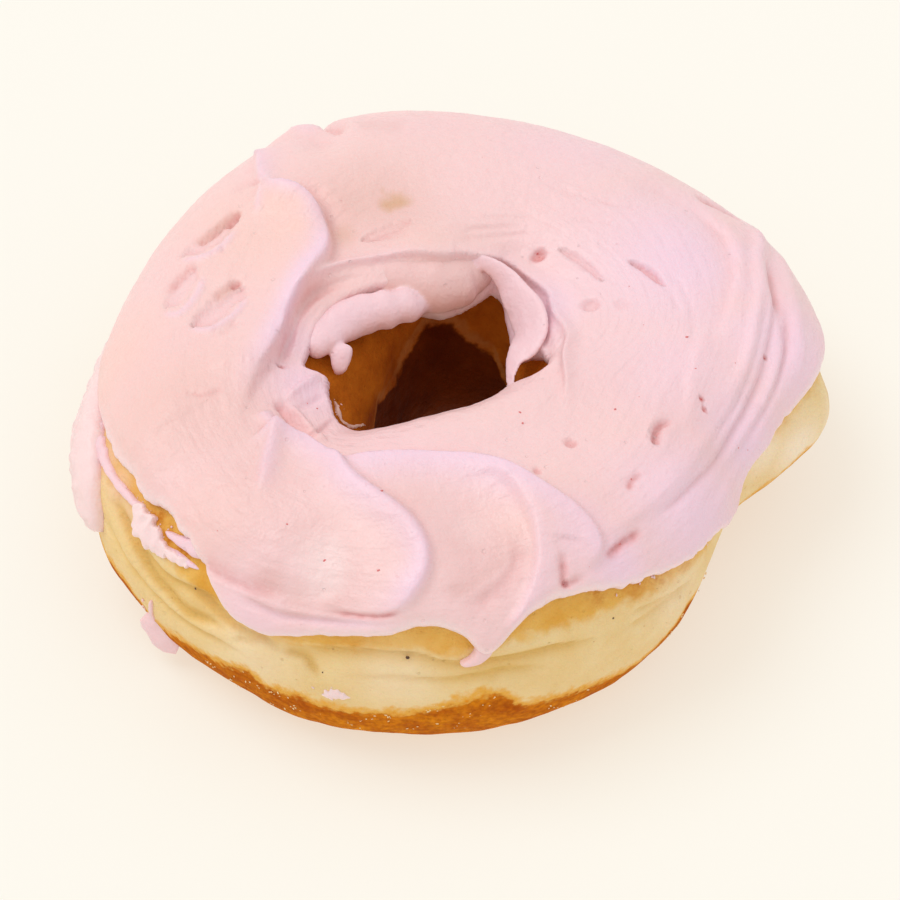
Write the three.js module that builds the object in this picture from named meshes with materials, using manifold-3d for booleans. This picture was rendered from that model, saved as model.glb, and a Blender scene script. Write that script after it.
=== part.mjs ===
// A frosted ring doughnut: a raised, fried ring of dough with a thick layer of frosting spread over it.
// Millimetres, +Z up. The origin is on the surface that it rests on, under the middle of the whole.
//
// Both main pieces are described by two angles in degrees. "turn" runs round the ring from +X towards +Y.
// "roll" runs round the section of the ring: 0 at the outer side, 90 on top, 180 in the hole, 270 beneath.
import * as THREE from 'three';
import { ParametricGeometry } from 'three/addons/geometries/ParametricGeometry.js';
import { mergeVertices } from 'three/addons/utils/BufferGeometryUtils.js';
import Module from 'manifold-3d';

const degree = Math.PI / 180;
const pieceGap = 0.3; // between the dough and whatever lies on it
const ringCentre = new THREE.Vector3(0.4, -0.8, 0); // of the ring, seen from under the middle of the whole

// Lists hold one value for each equal step round the ring, from +X towards +Y.
const dough = {
  outerRadius: [46.8, 46.6, 43.2, 42.9, 44.5, 45.8, 44.2, 41.8, 43.6, 47.6, 46.5, 45.9, 45, 43.6, 42, 38.8],
  holeRadius: [7.3, 8.6, 10.8, 12, 12.4, 11.4, 9.6, 9, 10, 13, 16, 15.4, 13, 10.6, 9, 7.8],
  height: [29, 29, 29.5, 30, 30, 30, 30, 30, 29.5, 29.5, 29.5, 30, 30, 29.5, 29, 29],
  footInset: [5, 3, 3, 3, 3, 3, 3, 3, 3, 3, 2.5, 2, 2, 2.5, 3, 4.5],
  middleShift: 1, // how far the crown lies outside the middle of the section
  waistHeight: 14,
  holeWaistRise: 5, // the hole is narrowest this much higher than the outer side is widest
  flattening: 0.7, // the round bottom is pressed flat by this much
  lobe: { turn: 2, halfWidth: 19, lift: 9 }, // a lobe that curls up clear of the surface
  ringSteps: 80,
  rollSteps: 24,
};
const squareness = { shoulder: 2.3, holeShoulder: 2.4, foot: 3.3, holeFoot: 5 };

// A fold runs along the side as a groove: its path in [turn, roll], its depth and half width.
const folds = [
  { path: [[236, 20], [248, 23], [258, 27], [268, 24], [279, 22], [289, 21], [299, 16]], size: -0.9, width: 1.3 },
  { path: [[206, 24], [214, 19], [219, 12], [226, 8], [234, 13]], size: -0.9, width: 1.3 },
];

const frosting = {
  outerEdge: [24, 15, 8, 6, 5, 5, 5, 6, 6, 8, 10, 13, 18, 39, 44, 37, 25, 34, 39, 43, 38, 26, 10, 20],
  innerEdge: [176, 172, 166, 168, 171, 172, 170, 168, 160, 150, 157, 162, 163, 166, 172, 176],
  thickness: 2.3,
  bite: 1.6, // how far its outline dives into the dough before it is cut
  edgeWidth: 2.6, // from the edge to the full thickness
  ringSteps: 124,
  topSteps: 31, // between the two angles below, where the frosting lies
  bottomSteps: 4,
  rollFrom: -16,
  rollTo: 186,
};
const sectionRadius = 15; // turns a difference of roll into a distance along the section

// Extra thickness round the rim of the hole: a fat roll of frosting hangs into the hole at the back.
const rim = {
  size: [0.4, 0, 0, 1.2, 4.8, 5.6, 4.6, 3.2, 2, 0.6, 0.4, 1, 1.8, 2, 1.8, 0.8],
  roll: 150,
  halfRoll: 20,
};

// Crests are above 0 and grooves below: path in [turn, roll], height and half width.
const strokes = [
  {
    path: [[132, 64], [140, 79], [136, 98], [140, 114], [160, 121], [182, 121], [198, 116], [210, 98], [221, 82]],
    size: 2.6,
    width: 3,
  },
  {
    path: [[184, 122], [160, 124], [130, 140], [88, 146], [60, 142], [28, 150], [355, 149], [328, 123], [316, 117]],
    size: 1.2,
    width: 1.4,
  },
  { path: [[221, 98], [235, 106], [251, 99], [262, 86], [266, 70], [263, 58], [255, 45]], size: 2, width: 2 },
  { path: [[245, 101], [258, 117], [277, 113], [288, 95], [294, 76], [297, 62]], size: 2, width: 2 },
  { path: [[288, 96], [291, 80], [289, 60], [286, 48], [280, 40]], size: 1.5, width: 1.8 },
  { path: [[221, 98], [222, 90], [232, 74]], size: 0.8, width: 1.5 },
  { path: [[32, 51], [26, 40], [14, 51], [0, 63], [348, 63]], size: 1.2, width: 2 },
  { path: [[17, 40], [5, 40], [357, 40]], size: 1, width: 1.8 },
  { path: [[359, 41], [350, 47], [336, 43], [315, 52], [300, 53], [288, 50]], size: -1, width: 1.8 },
  { path: [[128, 111], [140, 122], [160, 130], [187, 128]], size: -0.9, width: 3 },
];

// Hollows left by the knife and by burst bubbles: place in [turn, roll], depth and radius.
const hollows = [
  { at: [250, 72], depth: 1.2, radius: 7 },
  { at: [279, 78], depth: 1.2, radius: 6 },
  { at: [112, 111], depth: 1.1, radius: 8 },
  { at: [153, 69], depth: 0.9, radius: 3 },
  { at: [172, 77], depth: 0.9, radius: 3 },
  { at: [327, 69], depth: 1, radius: 2.2 },
];

// Tongues that run down past the edge: path in [turn, roll], half width and thickness.
const tongues = [
  { path: [[164, 24], [176, 14], [188, 8], [198, 6], [206, 12]], width: 4.2, thickness: 3 },
  { path: [[281, 46], [277, 36], [275, 29]], width: 2.1, thickness: 2 },
  { path: [[230, 40], [226, 33], [220, 31], [213, 31]], width: 1.3, thickness: 1.1 },
];

// Gaps at the rim of the hole where the crust shows: place in [turn, roll] and radius.
const gaps = [
  { at: [340, 156], radius: 2.8 },
  { at: [198, 148], radius: 1.4 },
];

// Loose bits on the side: place in [turn, roll], half length, half width and half thickness, tilt.
const bits = {
  frosting_flake: { at: [218, -14], half: [4.2, 2.3, 0.7], spin: 38, lean: 24, stand: 1.5 },
  frosting_smear: { at: [253, -2], half: [2.2, 1.1, 0.9], spin: 8, lean: 0, stand: 0 },
};

const wasm = await Module();
wasm.setup();

// A smooth value at any turn, through a list of equal steps round the ring.
function around(values, turn) {
  const count = values.length;
  const place = ((((turn % 360) + 360) % 360) / 360) * count;
  const first = Math.floor(place);
  const t = place - first;
  const [a, b, c, d] = [-1, 0, 1, 2].map((k) => values[(first + k + count) % count]);
  return 0.5 * (2 * b + (c - a) * t + (2 * a - 5 * b + 4 * c - d) * t * t + (3 * b - a - 3 * c + d) * t * t * t);
}

function angleBetween(turn, other) {
  return ((((turn - other + 180) % 360) + 360) % 360) - 180;
}

function bell(distance, halfWidth) {
  return Math.exp(-((distance / halfWidth) ** 2));
}

// The smooth surface of the dough, without its folds.
function doughSurface(turn, roll) {
  const across = Math.cos(roll * degree);
  const rise = Math.sin(roll * degree);
  const outside = across >= 0;
  const outer = around(dough.outerRadius, turn);
  const hole = around(dough.holeRadius, turn);
  const middle = (outer + hole) / 2 + dough.middleShift;
  const lift = dough.lobe.lift * bell(angleBetween(turn, dough.lobe.turn), dough.lobe.halfWidth);
  const waist = dough.waistHeight + dough.holeWaistRise * Math.max(-across, 0) + lift / 4;
  const inset = around(dough.footInset, turn) * Math.max(-rise, 0) ** 1.5;
  const halfWidth = outside ? outer - inset - middle : middle - hole;
  const bottom = lift * Math.max(across, 0) ** 0.7 - dough.flattening;
  const halfHeight = rise >= 0 ? around(dough.height, turn) - waist : waist - bottom;
  const upper = outside ? squareness.shoulder : squareness.holeShoulder;
  const lower = outside ? squareness.foot : squareness.holeFoot;
  const power = rise >= 0 ? upper : lower;
  const reach = (Math.abs(across / halfWidth) ** power + Math.abs(rise / halfHeight) ** power) ** (-1 / power);
  const radius = middle + reach * across;
  const height = Math.max(waist + reach * rise, 0);
  return new THREE.Vector3(radius * Math.cos(turn * degree), radius * Math.sin(turn * degree), height);
}

function doughNormal(turn, roll) {
  const step = 0.05;
  const alongRing = doughSurface(turn + step, roll).sub(doughSurface(turn - step, roll));
  const alongSection = doughSurface(turn, roll + step).sub(doughSurface(turn, roll - step));
  return alongRing.cross(alongSection).normalize();
}

// A path over the dough as short straight lines.
function pathLines(path) {
  const stations = path.map(([turn, roll]) => doughSurface(turn, roll));
  const points = new THREE.CatmullRomCurve3(stations).getPoints(stations.length * 4);
  return points.slice(1).map((point, i) => new THREE.Line3(points[i], point));
}

// The distance from a point to a path, and how far along the path the nearest place is, from 0 to 1.
function nearestOnPath(point, lines) {
  const nearest = new THREE.Vector3();
  let best = { distance: Infinity, along: 0 };
  lines.forEach((line, i) => {
    line.closestPointToPoint(point, true, nearest);
    const distance = nearest.distanceTo(point);
    if (distance < best.distance) {
      const part = line.closestPointToPointParameter(point, true);
      best = { distance, along: (i + part) / lines.length };
    }
  });
  return best;
}

// Height that a crest, groove or fold adds at a point; it fades out towards both ends.
function strokeHeight(point, stroke) {
  const { distance, along } = nearestOnPath(point, stroke.lines);
  const fade = Math.min(1, along / 0.15, (1 - along) / 0.15);
  return stroke.size * bell(distance, stroke.width) * Math.sqrt(Math.max(fade, 0));
}

for (const stroke of [...folds, ...strokes, ...tongues]) {
  stroke.lines = pathLines(stroke.path);
}
for (const place of [...hollows, ...gaps]) {
  place.centre = doughSurface(...place.at);
}

function doughPoint(turn, roll, offset = 0) {
  const point = doughSurface(turn, roll);
  const height = folds.reduce((sum, fold) => sum + strokeHeight(point, fold), offset);
  return point.addScaledVector(doughNormal(turn, roll), height);
}

// A rounded edge: nothing at the edge, the full thickness a little way in, and under the dough outside it.
function edgeProfile(distance, width, thickness) {
  if (distance <= 0) {
    return Math.max(distance * 1.5, -frosting.bite);
  }
  const rest = 1 - Math.min(distance / width, 1);
  return thickness * Math.sqrt(1 - rest * rest);
}

// Height of the frosting's surface over the dough, below 0 where there is none.
function frostingHeight(turn, roll, point) {
  const fromOuter = (roll - around(frosting.outerEdge, turn)) * degree * sectionRadius;
  const fromInner = (around(frosting.innerEdge, turn) - roll) * degree * sectionRadius;
  const full = frosting.thickness + around(rim.size, turn) * bell(roll - rim.roll, rim.halfRoll);
  let height = edgeProfile(Math.min(fromOuter, fromInner), frosting.edgeWidth, full);
  if (height > 0) {
    const relief = strokes.reduce((sum, stroke) => sum + strokeHeight(point, stroke), 0);
    const sunk = hollows.reduce((sum, h) => sum + h.depth * bell(point.distanceTo(h.centre), h.radius), 0);
    height += (relief - sunk) * Math.min(height / full, 1);
  }
  for (const tongue of tongues) {
    const inside = tongue.width - nearestOnPath(point, tongue.lines).distance;
    height = Math.max(height, edgeProfile(inside, tongue.width, tongue.thickness));
  }
  for (const gap of gaps) {
    const outside = point.distanceTo(gap.centre) - gap.radius;
    height = Math.min(height, edgeProfile(outside, 1.2, Math.max(height, 1)));
  }
  return height;
}

function frostingPoint(turn, roll) {
  const point = doughSurface(turn, roll);
  const height = frostingHeight(turn, roll, point);
  return point.addScaledVector(doughNormal(turn, roll), height);
}

// The frosting's steps round the section lie close together on top and wide apart beneath.
function frostingRoll(step) {
  if (step <= frosting.topSteps) {
    return frosting.rollFrom + ((frosting.rollTo - frosting.rollFrom) * step) / frosting.topSteps;
  }
  const rest = (step - frosting.topSteps) / frosting.bottomSteps;
  return frosting.rollTo + (360 + frosting.rollFrom - frosting.rollTo) * rest;
}

// A closed ring-shaped surface: pointAt(turn, step) gives its points.
function ringGeometry(ringSteps, rollSteps, pointAt) {
  const place = (u, v, target) => {
    const ringStep = Math.round(u * ringSteps) % ringSteps;
    const rollStep = Math.round(v * rollSteps) % rollSteps;
    target.copy(pointAt((360 * ringStep) / ringSteps, rollStep));
  };
  return new ParametricGeometry(place, ringSteps, rollSteps);
}

function solidFrom(geometry) {
  const bare = geometry.clone();
  bare.deleteAttribute('normal');
  bare.deleteAttribute('uv');
  const merged = mergeVertices(bare, 1e-4);
  return new wasm.Manifold(
    new wasm.Mesh({
      numProp: 3,
      vertProperties: new Float32Array(merged.attributes.position.array),
      triVerts: new Uint32Array(merged.index.array),
    }),
  );
}

// The largest single body of a solid; crumbs that a cut leaves are dropped.
function largestBody(solid) {
  return solid.decompose().sort((a, b) => b.volume() - a.volume())[0];
}

function meshFrom(name, solid, material) {
  const { vertProperties, triVerts } = solid.getMesh();
  const geometry = new THREE.BufferGeometry();
  geometry.setAttribute('position', new THREE.BufferAttribute(new Float32Array(vertProperties), 3));
  geometry.setIndex(new THREE.BufferAttribute(new Uint32Array(triVerts), 1));
  geometry.computeVertexNormals();
  const mesh = new THREE.Mesh(geometry, material);
  mesh.name = name;
  return mesh;
}

function doughRing(offset) {
  const rollAt = (step) => (360 * step) / dough.rollSteps;
  const pointAt = (turn, step) => doughPoint(turn, rollAt(step), offset);
  return solidFrom(ringGeometry(dough.ringSteps, dough.rollSteps, pointAt));
}

function frostingLayer(doughCutter) {
  const { ringSteps, topSteps, bottomSteps } = frosting;
  const pointAt = (turn, step) => frostingPoint(turn, frostingRoll(step));
  const whole = solidFrom(ringGeometry(ringSteps, topSteps + bottomSteps, pointAt));
  return largestBody(whole.subtract(doughCutter));
}

// A small lens of frosting stuck to the side of the dough.
function frostingBit({ at, half, spin, lean, stand }, doughCutter) {
  const geometry = new THREE.SphereGeometry(1, 14, 8).scale(...half);
  geometry.rotateY(lean * degree).rotateZ(spin * degree);
  const normal = doughNormal(...at);
  geometry.applyQuaternion(new THREE.Quaternion().setFromUnitVectors(new THREE.Vector3(0, 0, 1), normal));
  const centre = doughSurface(...at).addScaledVector(normal, stand);
  geometry.translate(centre.x, centre.y, centre.z);
  return largestBody(solidFrom(geometry).subtract(doughCutter));
}

const crust = new THREE.MeshStandardMaterial({ color: 0xdfab66, roughness: 0.65, metalness: 0 });
const icing = new THREE.MeshStandardMaterial({ color: 0xf8d3d2, roughness: 0.42, metalness: 0 });

const doughCutter = doughRing(pieceGap);
const group = new THREE.Group();
group.add(meshFrom('dough', doughRing(0), crust));
group.add(meshFrom('frosting', frostingLayer(doughCutter), icing));
for (const [name, bit] of Object.entries(bits)) {
  group.add(meshFrom(name, frostingBit(bit, doughCutter), icing));
}
for (const piece of group.children) {
  piece.position.copy(ringCentre);
}

export default group;
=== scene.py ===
# A frosted ring doughnut: a raised ring of fried dough under a thick layer of hand-spread frosting.
import math
import random

import bmesh
import bpy
import numpy as np
from mathutils import Euler, Matrix, Vector, kdtree, noise


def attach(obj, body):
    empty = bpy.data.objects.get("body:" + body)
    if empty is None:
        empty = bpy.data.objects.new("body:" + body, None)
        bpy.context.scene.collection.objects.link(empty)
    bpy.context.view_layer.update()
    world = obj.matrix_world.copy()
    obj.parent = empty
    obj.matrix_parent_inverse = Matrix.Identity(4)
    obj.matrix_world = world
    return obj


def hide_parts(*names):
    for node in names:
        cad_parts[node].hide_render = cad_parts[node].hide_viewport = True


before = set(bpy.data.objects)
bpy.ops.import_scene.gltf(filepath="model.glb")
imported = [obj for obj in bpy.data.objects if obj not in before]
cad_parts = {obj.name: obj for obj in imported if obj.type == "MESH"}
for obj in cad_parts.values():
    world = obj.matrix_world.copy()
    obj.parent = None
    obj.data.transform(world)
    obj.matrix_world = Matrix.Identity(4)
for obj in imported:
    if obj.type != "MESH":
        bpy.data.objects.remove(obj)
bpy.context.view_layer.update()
print("frame loaded:", ", ".join(sorted(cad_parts)))

mm = 0.001
degree = math.pi / 180
ringCentre = np.array([0.4, -0.8, 0.0])  # mm, of the ring, seen from under the middle of the whole
sectionRadius = 15  # mm, turns a difference of roll into a distance along the section

# Places on the ring are two angles in degrees. Turn runs round the ring from +X towards +Y.
# Roll runs round its section: 0 at the outer side, 90 on top, 180 in the hole, 270 beneath.
# Lists hold one value in mm for each equal step round the ring, or pairs of a turn and a value.
ring = {
    "outerRadius": [46.0, 47.2, 44.2, 42.7, 43.8, 45.0, 43.7, 42.3, 43.6, 47.3, 46.4, 45.9, 45, 43.9, 42,
                    38.8],
    "holeRadius": [(0, 8.8), (20, 9.6), (35, 11.2), (50, 13.2), (62, 14.0), (75, 13.0), (90, 12.4),
                   (112, 10.6), (135, 8.6), (157, 7.6), (180, 8.2), (200, 9.8), (213, 12.0), (222, 14.6),
                   (230, 16.6), (238, 16.0), (248, 14.2), (260, 12.8), (274, 11.8), (293, 11.2),
                   (313, 10.9), (330, 10.5), (345, 9.6)],
    "holeSlope": [(0, 2.4), (170, 2.4), (195, 1.8), (225, 1.7), (240, 2.0), (260, 2.4)],
    "holeFoot": 5.5,
    "holeFootTurn": 90,
    "holeFootHalfWidth": 60,
    "height": [29, 29, 29.5, 30, 30, 30, 30, 30, 29.5, 29.5, 29.5, 30, 30, 29.5, 29, 29],
    "footInset": [5, 3, 3, 3, 3, 3, 3, 3, 3.4, 3.9, 1.9, 1.2, 1.9, 2.8, 3.5, 4.5],
    "middleShift": 1,
    "waistHeight": 14,
    "holeWaistRise": 5,
    "flattening": 0.7,
    "lobeTurn": 2,
    "lobeHalfWidth": 20,
    "lobeLift": 10.5,
    "lobeReach": 3.3,
    "lobeReachTurn": 357,
    "lobeReachHalfWidth": 9,
    "squareShoulder": 2.3,
    "squareFoot": 3.3,
    "squareHoleFoot": 5,
}


def around(values, turn):  # smooth value at any turn, through equal steps round the ring
    values = np.asarray(values, float)
    count = len(values)
    place = (turn % 360) / 360 * count
    first = np.floor(place).astype(int)
    t = place - first
    a, b, c, d = (values[(first + step) % count] for step in (-1, 0, 1, 2))
    return 0.5 * (2 * b + (c - a) * t + (2 * a - 5 * b + 4 * c - d) * t**2 + (3 * b - a - 3 * c + d) * t**3)


def atTurns(pairs, turn, blur=4.0):  # smooth value at any turn, near the (turn, value) pairs
    turns, values = np.array(pairs, float).T
    even = np.arange(1440) / 4
    line = np.interp(even, turns, values, period=360)
    reach = np.arange(-60, 61) / 4
    weight = np.exp(-((reach / blur) ** 2))
    wrapped = np.concatenate([line[-60:], line, line[:60]])
    smooth = np.convolve(wrapped, weight / weight.sum(), "valid")
    return np.interp(turn % 360, even, smooth, period=360)


def between(turn, other):  # difference of two turns, from -180 to 180
    return (turn - other + 180) % 360 - 180


def bell(distance, halfWidth):
    return np.exp(-((distance / halfWidth) ** 2))


def unit(vectors):
    return vectors / np.linalg.norm(vectors, axis=-1, keepdims=True)


def smoothStep(value, low, high):
    t = np.clip((value - low) / (high - low), 0, 1)
    return t * t * (3 - 2 * t)


def ringPoint(turn, roll):  # the smooth surface of the dough, in mm from the ring's centre
    across = np.cos(roll * degree)
    rise = np.sin(roll * degree)
    outside = across >= 0
    outer = around(ring["outerRadius"], turn)
    hole = atTurns(ring["holeRadius"], turn)
    middle = (outer + hole) / 2 + ring["middleShift"]
    footShare = bell(between(turn, ring["holeFootTurn"]), ring["holeFootHalfWidth"])
    hole = hole - ring["holeFoot"] * np.maximum(-rise, 0) ** 0.8 * footShare
    lift = ring["lobeLift"] * bell(between(turn, ring["lobeTurn"]), ring["lobeHalfWidth"])
    lowDown = smoothStep(-rise, -0.5, 0.1)
    lobeShare = bell(between(turn, ring["lobeReachTurn"]), ring["lobeReachHalfWidth"])
    outer = outer + ring["lobeReach"] * lowDown * lobeShare
    waist = ring["waistHeight"] + ring["holeWaistRise"] * np.maximum(-across, 0) + lift / 4
    inset = around(ring["footInset"], turn) * np.maximum(-rise, 0) ** 1.5
    halfWidth = np.where(outside, outer - inset - middle, middle - hole)
    bottom = lift * np.maximum(across, 0) ** 0.7 - ring["flattening"]
    halfHeight = np.where(rise >= 0, around(ring["height"], turn) - waist, waist - bottom)
    upper = np.where(outside, ring["squareShoulder"], atTurns(ring["holeSlope"], turn))
    lower = np.where(outside, ring["squareFoot"], ring["squareHoleFoot"])
    power = np.where(rise >= 0, upper, lower)
    reach = (np.abs(across / halfWidth) ** power + np.abs(rise / halfHeight) ** power) ** (-1 / power)
    radius = middle + reach * across
    height = np.maximum(waist + reach * rise, 0)
    return np.stack([radius * np.cos(turn * degree), radius * np.sin(turn * degree), height], axis=-1)


def ringDirections(turn, roll, step=0.05):
    # unit vectors at each place: round the ring, round the section and outward
    alongRing = unit(ringPoint(turn + step, roll) - ringPoint(turn - step, roll))
    alongSection = unit(ringPoint(turn, roll + step) - ringPoint(turn, roll - step))
    return alongRing, alongSection, unit(np.cross(alongRing, alongSection))


def smoothLine(stations, steps=5):  # points of a smooth curve through the stations
    stations = np.asarray(stations, float)
    padded = np.vstack([2 * stations[0] - stations[1], stations, 2 * stations[-1] - stations[-2]])
    line = []
    for a, b, c, d in zip(padded, padded[1:], padded[2:], padded[3:]):
        for t in np.arange(steps) / steps:
            line.append(0.5 * (2 * b + (c - a) * t + (2 * a - 5 * b + 4 * c - d) * t**2
                               + (3 * b - a - 3 * c + d) * t**3))
    return np.array(line + [stations[-1]])


def pathLine(path):  # a path of (turn, roll) as a line over the dough
    turn, roll = np.array(path, float).T
    turn = np.degrees(np.unwrap(np.radians(turn)))
    places = smoothLine(np.stack([turn, roll], axis=-1))
    return ringPoint(places[:, 0], places[:, 1])


def nearestOnLine(points, normals, line):
    # each point's distance to the line, above 0 on its right seen from outside, and the share of its length
    best = np.full(len(points), np.inf)
    right = np.zeros(len(points))
    along = np.zeros(len(points))
    for index in range(len(line) - 1):
        step = line[index + 1] - line[index]
        toPoint = points - line[index]
        part = np.clip(toPoint @ step / (step @ step), 0, 1)
        offset = toPoint - part[:, None] * step
        distance = np.linalg.norm(offset, axis=1)
        closer = distance < best
        side = np.einsum("ij,ij->i", np.cross(step, normals), offset)
        best[closer] = distance[closer]
        right[closer] = np.sign(side[closer])
        along[closer] = (index + part[closer]) / (len(line) - 1)
    return best * right, along


def mark(size, width, path, **more):
    # a crest or groove along a path of (turn, roll): size in mm, width as one value or as (left, right);
    # more may hold fade, power, pointed and ragged, and how strongly it colours the frosting
    return {"size": size, "width": width, "path": path, **more}


def strokeShare(points, normals, stroke):
    # how strongly a crest or groove acts at each point, 0 to 1; its two sides may fall at different rates
    share = np.zeros(len(points))
    line = pathLine(stroke["path"])
    left, right = stroke["width"] if isinstance(stroke["width"], tuple) else (stroke["width"],) * 2
    margin = 3 * max(left, right)
    near = np.all((points > line.min(axis=0) - margin) & (points < line.max(axis=0) + margin), axis=1)
    if not near.any():
        return share
    distance, along = nearestOnLine(points[near], normals[near], line)
    if "ragged" in stroke:
        uneven = noiseAt(points[near], 1.9, 13) + 0.7 * noiseAt(points[near], 0.7, 14)
        distance = distance * (1 + stroke["ragged"] * uneven)
    width = np.where(distance > 0, right, left)
    startFade, endFade = stroke.get("fade", (0.25, 0.25))
    fade = smoothStep(along, -0.02, startFade) * smoothStep(1 - along, -0.02, endFade)
    if stroke.get("pointed"):  # narrows to both ends instead of fading
        width = width * np.sqrt(np.clip(1 - (2 * along - 1) ** 2, 0.06, 1))
        fade = 1
    share[near] = np.exp(-np.abs(distance / width) ** stroke.get("power", 2)) * fade
    return share


def distanceTo(points, place):
    return np.linalg.norm(points - ringPoint(*np.array(place, float)), axis=1)


def patchShare(points, place, radius):
    return bell(distanceTo(points, place), radius)


def patchMask(points, patches):
    return np.max([size * patchShare(points, place, radius) for place, size, radius in patches], axis=0)


def noiseAt(points, scale, seed=0):  # smooth noise from about -1 to 1, with features of about scale mm
    shift = Vector((seed * 17.3, seed * 5.1, seed * 9.7))
    return np.array([noise.noise(Vector(point) / scale + shift) for point in points])


def addPiece(name, form):
    mesh = bpy.data.meshes.new(name)
    form.to_mesh(mesh)
    form.free()
    mesh.shade_smooth()
    piece = bpy.data.objects.new(name, mesh)
    bpy.context.scene.collection.objects.link(piece)
    return piece


def readVertices(piece):
    flat = np.zeros(len(piece.data.vertices) * 3, np.float32)
    piece.data.vertices.foreach_get("co", flat)
    return flat.reshape(-1, 3).astype(float)


def placeVertices(piece, points):  # points in mm from the ring's centre
    piece.data.vertices.foreach_set("co", ((points + ringCentre) * mm).astype(np.float32).ravel())
    piece.data.update()


def addAttribute(piece, name, values):
    attribute = piece.data.attributes.new(name, "FLOAT", "POINT")
    attribute.data.foreach_set("value", np.asarray(values, np.float32).ravel())


def ringSheet(name, ringSteps, sectionSteps):
    # a flat grid to be wrapped round the ring, with each vertex's step round the ring and the section
    form = bmesh.new()
    bmesh.ops.create_grid(form, x_segments=ringSteps, y_segments=sectionSteps, size=0.5)
    piece = addPiece(name, form)
    x, y, _ = readVertices(piece).T
    ringIndex = np.round((x + 0.5) * ringSteps).astype(int)
    return piece, ringIndex, np.round((y + 0.5) * sectionSteps).astype(int)


def closeRing(piece):  # joins the wrapped grid's edges where they meet
    form = bmesh.new()
    form.from_mesh(piece.data)
    rim = [vertex for vertex in form.verts if vertex.is_boundary]
    bmesh.ops.remove_doubles(form, verts=rim, dist=0.001 * mm)
    form.to_mesh(piece.data)
    form.free()


def evenTurns(ringSteps, frontShare):  # turns that lie closer together at the front than at the back
    even = np.arange(ringSteps + 1) / ringSteps * 360
    return even - frontShare * 180 / math.pi * np.cos(even * degree)


# the camera and the lights
view = {"target": (0.8, 5.0, 0.0), "distance": 450, "elevation": 50, "lens": 135.9, "sensor": 36}
light = {"dome": 0.84, "domeColour": (1.0, 0.995, 0.985), "sun": 0.95, "sunColour": (1.0, 0.985, 0.96),
         "sunSpread": 34, "sunFrom": (-0.5, 0.15, 1.0)}
# the floor glows a little, as a light table does, so that its shadows stay pale
floorLook = {"colour": (0.27, 0.335, 0.37), "glow": (0.695, 0.59, 0.475)}


def makeCamera():
    camera = bpy.data.objects.new("camera", bpy.data.cameras.new("camera"))
    bpy.context.scene.collection.objects.link(camera)
    lean = math.radians(view["elevation"])
    back = Vector((0, -math.cos(lean), math.sin(lean)))
    camera.location = (Vector(view["target"]) + back * view["distance"]) * mm
    camera.rotation_euler = (math.pi / 2 - lean, 0, 0)
    camera.data.lens = view["lens"]
    camera.data.sensor_width = view["sensor"]
    camera.data.clip_end = 20
    bpy.context.scene.camera = camera


def setInputs(node, values):  # constants on a node's own sockets
    for label, value in values.items():
        node.inputs[label].default_value = value


def makeLights():
    world = bpy.data.worlds.new("studio")
    bpy.context.scene.world = world
    world.use_nodes = True
    dome = {"Color": (*light["domeColour"], 1), "Strength": light["dome"]}
    setInputs(world.node_tree.nodes["Background"], dome)
    sun = bpy.data.lights.new("softSun", "SUN")
    sun.energy = light["sun"]
    sun.color = light["sunColour"]
    sun.angle = math.radians(light["sunSpread"])
    lamp = bpy.data.objects.new("softSun", sun)
    lamp.rotation_euler = Vector(light["sunFrom"]).to_track_quat("Z", "Y").to_euler()
    bpy.context.scene.collection.objects.link(lamp)


def makeFloor():
    form = bmesh.new()
    bmesh.ops.create_grid(form, x_segments=1, y_segments=1, size=3.0)
    mesh = bpy.data.meshes.new("floor")
    form.to_mesh(mesh)
    form.free()
    floor = bpy.data.objects.new("floor", mesh)
    bpy.context.scene.collection.objects.link(floor)
    material = bpy.data.materials.new("floorPaint")
    material.use_nodes = True
    setInputs(material.node_tree.nodes["Principled BSDF"], {
        "Base Color": (*floorLook["colour"], 1), "Emission Color": (*floorLook["glow"], 1),
        "Emission Strength": 1, "Roughness": 0.9, "Specular IOR Level": 0.1})
    mesh.materials.append(material)


makeCamera()
makeLights()
makeFloor()
bpy.context.scene.view_settings.view_transform = "Standard"
print("stage ready")


# Shader helpers: each adds one node to a tree and wires or sets its inputs.
def addNode(tree, kind, **settings):
    node = tree.nodes.new(kind)
    for key, value in settings.items():
        setattr(node, key, value)
    return node


def feed(tree, socket, value):
    if isinstance(value, bpy.types.NodeSocket):
        tree.links.new(value, socket)
    elif isinstance(value, tuple) and len(value) == 3 and socket.type == "RGBA":
        socket.default_value = (*value, 1)
    else:
        socket.default_value = value


def calculate(tree, operation, first, second=0.0, clamp=False):
    node = addNode(tree, "ShaderNodeMath", operation=operation, use_clamp=clamp)
    feed(tree, node.inputs[0], first)
    feed(tree, node.inputs[1], second)
    return node.outputs[0]


def add(tree, first, second, clamp=False):
    return calculate(tree, "ADD", first, second, clamp)


def subtract(tree, first, second):
    return calculate(tree, "SUBTRACT", first, second)


def multiply(tree, first, second):
    return calculate(tree, "MULTIPLY", first, second)


def remap(tree, value, low, high, toLow=0.0, toHigh=1.0):  # smooth, held at both ends
    node = addNode(tree, "ShaderNodeMapRange", interpolation_type="SMOOTHSTEP")
    for index, item in enumerate((value, low, high, toLow, toHigh)):
        feed(tree, node.inputs[index], item)
    return node.outputs[0]


def mixColour(tree, share, first, second):
    node = addNode(tree, "ShaderNodeMix", data_type="RGBA")
    feed(tree, node.inputs[0], share)
    feed(tree, node.inputs[6], first)
    feed(tree, node.inputs[7], second)
    return node.outputs[2]


def tint(tree, colour, share, other, strength=1):  # lays another colour over by a mask
    if strength != 1:
        share = multiply(tree, share, strength)
    return mixColour(tree, share, colour, other)


def readAttribute(tree, name):
    return addNode(tree, "ShaderNodeAttribute", attribute_name=name).outputs["Fac"]


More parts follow.
